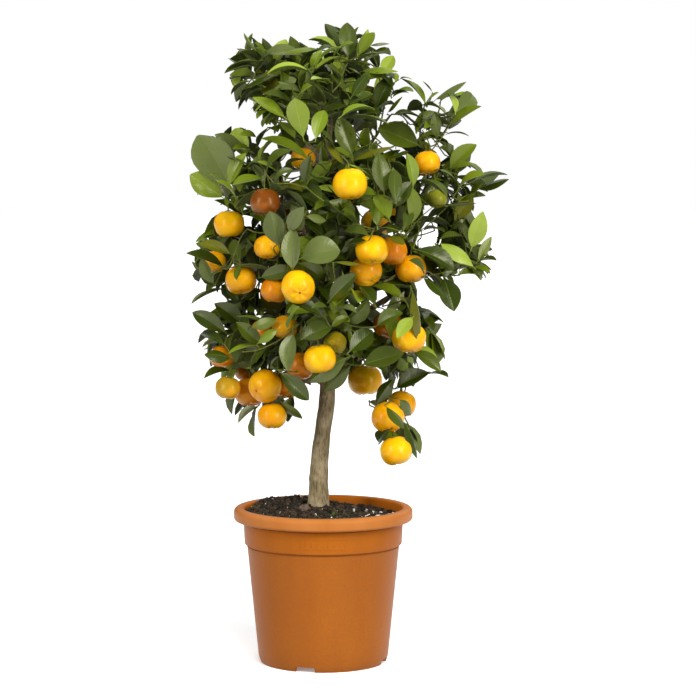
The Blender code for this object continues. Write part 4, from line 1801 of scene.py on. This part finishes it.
    def set_seen_leaves(self) -> None:
        """Places the leaves that stand out in the photograph, each on a twig of its own."""
        for seen in SEEN_LEAVES:
            at_base, mass = self.front(seen.base)
            at_tip, _ = self.front(seen.tip)
            depth = 0.65 * at_base + 0.35 * at_tip - seen.nearer * MM
            draw = self.random
            base = self.view.at(seen.base, depth)
            flat = (self.view.at(seen.tip, depth) - base).length
            spare = sqrt(max(0.0, (self.leaf_length * MM) ** 2 - flat**2))
            lean = min(spare * draw.uniform(0.25, 0.75), flat * 0.8)
            if seen.nearer < 6.0:
                lean *= draw.choice((-1.0, 1.0, 1.0))
                base += self.view.sight(seen.base) * lean / 2
                depth += lean / 2
            tip = self.view.at(seen.tip, depth - 4.0 * MM - lean)
            heading = (tip - base).normalized()
            length = (tip - base).length * 1.03
            face = -self.view.sight(seen.base) * 0.8 + UP * 0.45 + self.jitter(0.15)
            face = (face - heading * face.dot(heading)).normalized()
            width = seen.width * flat / (tip - base).length
            turn = min(acos(min(1.0, width / self.usual_width)), self.most_turned)
            faces = [Quaternion(heading, side * turn) @ face for side in (-1.0, 1.0)]
            face = max(faces, key=lambda way: way.dot(UP + self.outward(base)))
            bent = 0.4 if seen.full >= 0.5 else 1.0
            leaf = Leaf(
                base, heading, face, length, seen.tone, width=width / cos(turn),
                curl=bent * draw.uniform(0.3, 0.85), fold=bent * draw.choice((-0.35, 0.35, 0.5, 0.65)),
                twist=draw.gauss(0, 0.15), sweep=draw.gauss(0, 0.06), full=seen.full,
            )
            self.seen.append((leaf, mass, width))
            index = self.clear_wood(base)
            gap = (Vector(self.wood.points[index]) - base).length
            if gap > 2.0 * MM:
                twig = self.grow_twig(index, base - heading * length * 0.12, 0.7)
                twig.used = len(twig.path) - 1

    def clear_wood(self, base: Vector) -> int:
        """Finds near wood from which a straight twig crosses no fruit in the picture.

        Args:
            base: where the twig ends.

        Returns:
            The index of the wood's point.
        """
        ranked = np.argsort(self.wood.costs(base, least=5.0 * MM))
        across, down, _ = self.view.pixel(base)
        for index in ranked[[0, 15, 30, 50, 75, 105, 140]]:
            start = self.view.pixel(self.wood.points[index])
            steps = np.linspace(0.0, 1.0, 12)[:, None]
            route = start[:2] * (1.0 - steps) + np.array([across, down]) * steps
            if not any((np.hypot(*(route - np.array(fruit.middle)).T) < fruit.size * 0.42).any()
                       for fruit in SEEN_FRUIT):
                return int(index)
        return int(ranked[0])

    def set_seen_twigs(self) -> None:
        """Places the bare twigs of the photograph, each led back to the wood behind its foot."""
        for seen in SEEN_TWIGS:
            depths = [self.front(px)[0] for px in seen.route]
            depth = sum(depths) / len(depths) - seen.nearer * MM
            route = [self.view.at(px, depth) for px in seen.route]
            index = self.wood.nearest(route[0], least=4.0 * MM)
            start = Vector(self.wood.points[index])
            path = smooth_path([start, (start + route[0] * 2.0) / 3.0, *route], 5.0 * MM)
            radii = [seen.thick / 2 * MM * (1.0 - 0.4 * i / len(path)) for i in range(len(path))]
            self.keep_twig(Twig(path, radii, *self.wood.origin(index), len(path) - 1))

    def in_the_way(self, shaped: np.ndarray, fronts: np.ndarray) -> bool:
        """Tells whether a grown leaf would hide what shows, fill an opening or cut a fruit.

        Args:
            shaped: the leaf's points.
            fronts: what shows, as rows of pixels, radius in pixels and distance.

        Returns:
            True when the leaf has to go.
        """
        if any((np.linalg.norm(shaped - np.array(place), axis=1) < radius * 1.02).any()
               for place, radius, _, _ in self.fruit):
            return True
        for point in shaped[::7]:
            near, normal, _, gap = self.skin.find_nearest(Vector(point))
            if gap > self.slack * MM and (Vector(point) - near).dot(normal) > 0.0:
                return True
        seen = self.view.seen_at(shaped[::3])
        off = np.hypot(seen[:, :1] - OPENINGS[:, 0], seen[:, 1:2] - OPENINGS[:, 1])
        if (off < OPENINGS[:, 2]).any():
            return True
        middle = seen.mean(0)
        off = np.hypot(fronts[:, 0] - middle[0], fronts[:, 1] - middle[1])
        near = (off < fronts[:, 2] + 24.0) & (fronts[:, 3] > seen[:, 2].min() - 11.0 * MM)
        for across, down, radius, depth in fronts[near]:
            spots = np.hypot(seen[:, 0] - across, seen[:, 1] - down) < radius
            if (spots & (seen[:, 2] < depth + 9.0 * MM)).any():
                return True
        return False

    def fronts(self) -> np.ndarray:
        """Gathers the shown fruit and leaves, which have to stay in sight, as discs in the picture.

        Returns:
            Rows of pixel across, pixel down, radius in pixels and distance.
        """
        rows = []
        scale = self.view.focal_px
        for (place, radius, _, _), fruit in zip(self.fruit, SEEN_FRUIT):
            if fruit.deeper < 24.0:  # leaves may grow in front of the deeper ones
                across, down, depth = self.view.pixel(place)
                rows.append((across, down, radius / depth * scale * 0.96, depth))
        for leaf, _, width in self.seen:
            for share in (0.25, 0.5, 0.72, 0.9):
                spot = leaf.base + leaf.heading * leaf.length * share
                across, down, depth = self.view.pixel(spot)
                wide = 0.24 * width * (1.0 + leaf.full * (share - 0.5)) * sin(pi * share) ** 0.5
                rows.append((across, down, wide * leaf.length / depth * scale, depth))
        return np.array(rows)

    def build(self) -> None:
        """Grows the whole crown and hands its pieces in."""
        bark = CitrusBark().material()
        trunk = Limb.read("trunk", 14)
        piece = BarkedLimb(trunk, 48, 1.5, root_flare=1.6).build("bark_of_trunk", bark)
        hand_in(piece, "bark", "trunk")
        self.wood.add(smooth_path(trunk.path, 6.0 * MM)[28:], [3.0 * MM] * 2000)
        boughs = {}
        for node in sorted(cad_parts):
            if node.startswith("bough_"):
                limb = Limb.read(node, 6)
                boughs[node.removeprefix("bough_")] = limb
                inward = limb.path[0] - (limb.path[1] - limb.path[0]).normalized() * 3.5 * MM
                longer = Limb([inward, *limb.path], [limb.radii[0] * 1.5, *limb.radii])
                barked = BarkedLimb(longer, 24, 1.6, fissure=0.25, lump=0.4, scar=0.5, scar_pitch=17.0)
                hand_in(barked.build(f"bark_of_{node}", bark), "bark", node)
                path = smooth_path(limb.path, 5.0 * MM)
                self.wood.add(path, [limb.radius_at(i / len(path)) for i in range(len(path))])
        solid = ("pot", "soil", "trunk")
        names = [n for n in sorted(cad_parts) if n not in solid and not n.startswith("bough_")]
        self.masses = [Mass(name) for name in names]
        self.skin = skin_of(*names)
        for mass in sorted(self.masses, key=lambda m: (m.name not in boughs, m.name)):
            self.grow_mass(mass, boughs.get(mass.name))
        self.set_seen_fruit()
        self.set_other_fruit(17)
        self.set_seen_twigs()
        self.set_seen_leaves()
        self.join_leaves()
        self.join_fruit()
        self.join_twigs()

    def join_twigs(self) -> None:
        """Joins the twigs into one piece, each cut back to the last thing that grows on it."""
        batch = Batch("twigs", [
            CitrusBark("brown twig bark", "#8f8062", "#6b5c40", "#453a26").material(),
            PlainPlantSkin("green citrus twig", "#666b2a", "#474a1b", 0.7, 2.2).material(),
        ])
        for twig in reversed(self.twigs):
            if twig.used > 0 and twig.bearer >= 0:
                bearer = self.twigs[twig.bearer]
                bearer.used = max(bearer.used, min(twig.joint, len(bearer.path) - 1), 1)
        for twig in self.twigs:
            if twig.used > 0:
                young = twig.radii[0] < 1.25 * MM
                end = twig.used + 1
                batch.add_tube(twig.path[:end], twig.radii[:end], 6, 1 if young else 0)
        hand_in(batch.piece(60.0), "bark")

    def join_leaves(self) -> None:
        """Joins the leaves of each mass into a piece that replaces its node."""
        template = LeafTemplate().build()
        fine_rows = (-0.13, 0.0, 0.05, 0.12, 0.22, 0.34, 0.46, 0.58, 0.7, 0.81, 0.9, 0.96, 1.0)
        fine = LeafTemplate(fine_rows, (0.55,)).build()
        materials = shared_leaf_materials()
        fronts = self.fronts()
        for mass in self.masses:
            batch = Batch(f"leaves_{mass.name}", materials)
            kept = 0
            for leaf, twig, index in mass.leaves:
                shaped = leaf.shaped(template)
                if not self.in_the_way(shaped, fronts):
                    batch.add(template, shaped, leaf.slots(template))
                    twig.used = max(twig.used, index)
                    kept += 1
            for leaf, home, _ in self.seen:
                if home is mass:
                    batch.add(fine, leaf.shaped(fine), leaf.slots(fine))
            log.info("%s: %d of %d leaves kept", mass.name, kept, len(mass.leaves))
            hand_in(batch.piece(50.0), "foliage", mass.name)

    def join_fruit(self) -> None:
        """Joins all fruit into one piece and their calyxes into another, and adds their stalks to the
        twigs.
        """
        fruit = Calamondin().build()
        calyx = Calyx().build()
        kinds = list(Ripeness)
        rinds = [CitrusRind(f"{kind.name.lower()} calamondin rind", *kind.value).material()
                 for kind in kinds]
        scar = PlainPlantSkin("dry stylar scar", "#a5701c", "#6e4a16", 0.8, 0.6).material()
        crop = Batch("calamondins", [*rinds, scar])
        green = PlainPlantSkin("citrus calyx", "#7d8548", "#5d6335", 0.7, 0.8).material()
        caps = Batch("fruit_stalks", [green])
        for place, radius, kind, navel in self.fruit:
            turn = navel.to_track_quat("-Z", "Y") @ Quaternion(UP, self.random.uniform(0, tau))
            axes = np.array(turn.to_matrix())
            uneven = np.array([1.0 + 0.035 * noise.noise(Vector(p) * 1.1 + place * 90.0)
                               + 0.012 * noise.noise(Vector(p) * 4.0 + place * 50.0)
                               for p in fruit.points])[:, None]
            points = fruit.points * uneven @ axes.T * radius + np.array(place)
            slots = np.where(fruit.slots == 1, len(kinds), kinds.index(kind))
            crop.add(fruit, points, slots)
            top = place - navel * radius * 0.86
            caps.add(calyx, calyx.points @ axes.T * MM + np.array(top))
            index = self.wood.nearest(top - navel * 6.0 * MM, least=4.0 * MM)
            start = Vector(self.wood.points[index])
            lift = top - navel * 7.0 * MM
            path = smooth_path([start, (start + lift) / 2 - navel * 2.0 * MM, lift, top], 3.0 * MM)
            radii = [0.85 * MM] * len(path)
            self.twigs.append(Twig(path, radii, *self.wood.origin(index), len(path) - 1))
        hand_in(crop.piece(70.0), "fruit")
        hand_in(caps.piece(), "foliage")


@dataclass
class Calamondin:
    """One calamondin, 1 unit in radius: oblate with full shoulders, dimpled at both ends."""

    around: int = 40
    rows: int = 22
    oblate: float = 0.89
    shoulder: float = 0.84
    stalk_dimple: float = 0.08
    navel_dimple: float = 0.1
    dimple_radius: float = 0.3
    creases: int = 7
    crease: float = 0.08
    scar_radius: float = 0.05

    def build(self) -> Template:
        """Shapes a sphere into the fruit.

        Returns:
            The fruit: slot 0 is its rind and slot 1 its stylar scar.
        """
        fruit = primitive(bpy.ops.mesh.primitive_uv_sphere_add, segments=self.around, ring_count=self.rows,
                          radius=1.0)
        first = pi / self.rows
        for face in fruit.data.polygons:
            face.material_index = int(face.center.z < 0.001 - cos(first))
        for vertex in fruit.data.vertices:
            x, y, z = vertex.co
            ring = hypot(x, y)
            away = atan2(ring, abs(z))
            if ring > 1e-6 and away < first * 1.01:
                shrink = self.scar_radius / sin(first)
                x, y = x * shrink, y * shrink
                ring *= shrink
            full = ring**self.shoulder / ring if ring > 1e-6 else 1.0
            depth = self.stalk_dimple if z > 0 else self.navel_dimple
            near_pole = exp(-((ring / self.dimple_radius) ** 2))
            tall = copysign(abs(z) ** 0.94, z) * self.oblate
            turn = atan2(y, x)
            wrinkled = cos(self.creases * turn + 1.2 * sin(2 * turn))
            dimple = depth * near_pole + self.crease * wrinkled * ring * near_pole * 3.0
            ribs = 1.0 + 0.008 * wrinkled * ring
            vertex.co = (x * full * ribs, y * full * ribs, tall - copysign(dimple, z))
        for _ in range(2):
            fruit.data.materials.append(None)
        return Template.taken_from(fruit)


@dataclass
class Calyx:
    """The five-lobed calyx that holds a fruit, in millimetres."""

    lobe: float = 3.6
    notch: float = 2.2
    thickness: float = 0.7

    def build(self) -> Template:
        """Shapes a disc into a five-lobed star and gives it its thickness.

        Returns:
            The calyx, with its stalk side up.
        """
        calyx = primitive(bpy.ops.mesh.primitive_circle_add, vertices=20, radius=1.0, fill_type="TRIFAN")
        for vertex in calyx.data.vertices:
            ring = hypot(vertex.co.x, vertex.co.y)
            turn = atan2(vertex.co.y, vertex.co.x)
            wide = self.notch + (self.lobe - self.notch) * (0.5 + 0.5 * cos(5 * turn))
            vertex.co = (vertex.co.x * wide, vertex.co.y * wide, 1.0 - 0.5 * ring)
        apply_modifier(calyx, "SOLIDIFY", thickness=self.thickness, offset=-1.0)
        return Template.taken_from(calyx)


# Stage


@dataclass
class Studio:
    """A plain pale floor, and soft light from the upper right, the left and all round."""

    floor_size: float = 40.0
    floor_colour: str = "#fefdfc"
    ambience: float = 0.4
    mirrored: float = 0.12
    key_sun: float = 2.55
    fill_sun: float = 0.25
    back_sun: float = 0.9
    right_box: float = 36.0
    left_box: float = 28.5
    box_size: Pair = (0.55, 1.5)
    floor_glow: float = 0.2

    def sun(self, name: str, turn_deg: float, rise_deg: float, strength: float, spread_deg: float,
            mirrored: bool = True) -> None:
        """Adds a wide soft sun.

        Args:
            name: the light's name.
            turn_deg: how far to the viewer's right it stands.
            rise_deg: how high it stands.
            strength: its irradiance.
            spread_deg: how wide its disc is.
            mirrored: whether glossy skins mirror it.
        """
        data = bpy.data.lights.new(name, "SUN")
        data.energy = strength
        data.angle = radians(spread_deg)
        light = in_scene(name, data)
        light.rotation_euler = (radians(90.0 - rise_deg), 0.0, radians(turn_deg))
        light.visible_glossy = mirrored

    def softbox(self, name: str, place: tuple, power: float) -> None:
        """Adds an upright strip light that faces the crown, for a tall soft highlight.

        Args:
            name: the light's name.
            place: where it hangs, in metres.
            power: its power in watts.
        """
        data = bpy.data.lights.new(name, "AREA")
        data.shape = "RECTANGLE"
        data.size, data.size_y = self.box_size
        data.energy = power
        light = in_scene(name, data)
        light.location = place
        aim = mm(20.0, 0.0, 380.0) - Vector(place)
        light.rotation_euler = aim.to_track_quat("-Z", "Y").to_euler()

    def build(self) -> None:
        """Adds the floor, the world and the lights."""
        floor = primitive(bpy.ops.mesh.primitive_plane_add, size=self.floor_size)
        floor.name = "studio_floor"
        paint = LooseGrit("painted floor", self.floor_colour, "#fbfaf9", 0.9, 400.0).material()
        feed(paint.node_tree.nodes["Principled BSDF"],
             Emission_Color="#ffffff", Emission_Strength=self.floor_glow)
        floor.data.materials.append(paint)
        floor.visible_diffuse = False
        world = bpy.data.worlds.new("studio")
        bpy.context.scene.world = world
        world.use_nodes = True
        tree = world.node_tree
        # the backdrop is white to the eye, and lights the object less than it shows
        rays = add_node(tree, "LightPath").outputs
        glossy, seen = rays["Is Glossy Ray"], rays["Is Camera Ray"]
        lighting = add_node(tree, "MapRange", Value=glossy, To_Min=self.ambience, To_Max=self.mirrored)
        strength = add_node(tree, "MapRange", Value=seen, To_Min=lighting, To_Max=1.0)
        feed(tree.nodes["Background"], Color="#ffffff", Strength=strength)
        self.sun("key_sun", 22.0, 48.0, self.key_sun, 40.0, mirrored=False)
        self.sun("fill_sun", -58.0, 40.0, self.fill_sun, 60.0)
        self.softbox("right_softbox", (1.6, -1.75, 0.95), self.right_box)
        self.softbox("left_softbox", (-1.6, -1.7, 0.95), self.left_box)
        self.sun("back_sun", 165.0, 50.0, self.back_sun, 60.0)
        bpy.context.scene.view_settings.view_transform = "Standard"


def main() -> None:
    """Builds the object's pieces in order, then the stage."""
    logging.basicConfig(level=logging.INFO, format="%(name)s %(message)s")
    view = Viewpoint()
    view.make_camera()
    Pot().build()
    Soil().build()
    Crown(view).build()
    Studio().build()


if __name__ == "__main__":
    main()
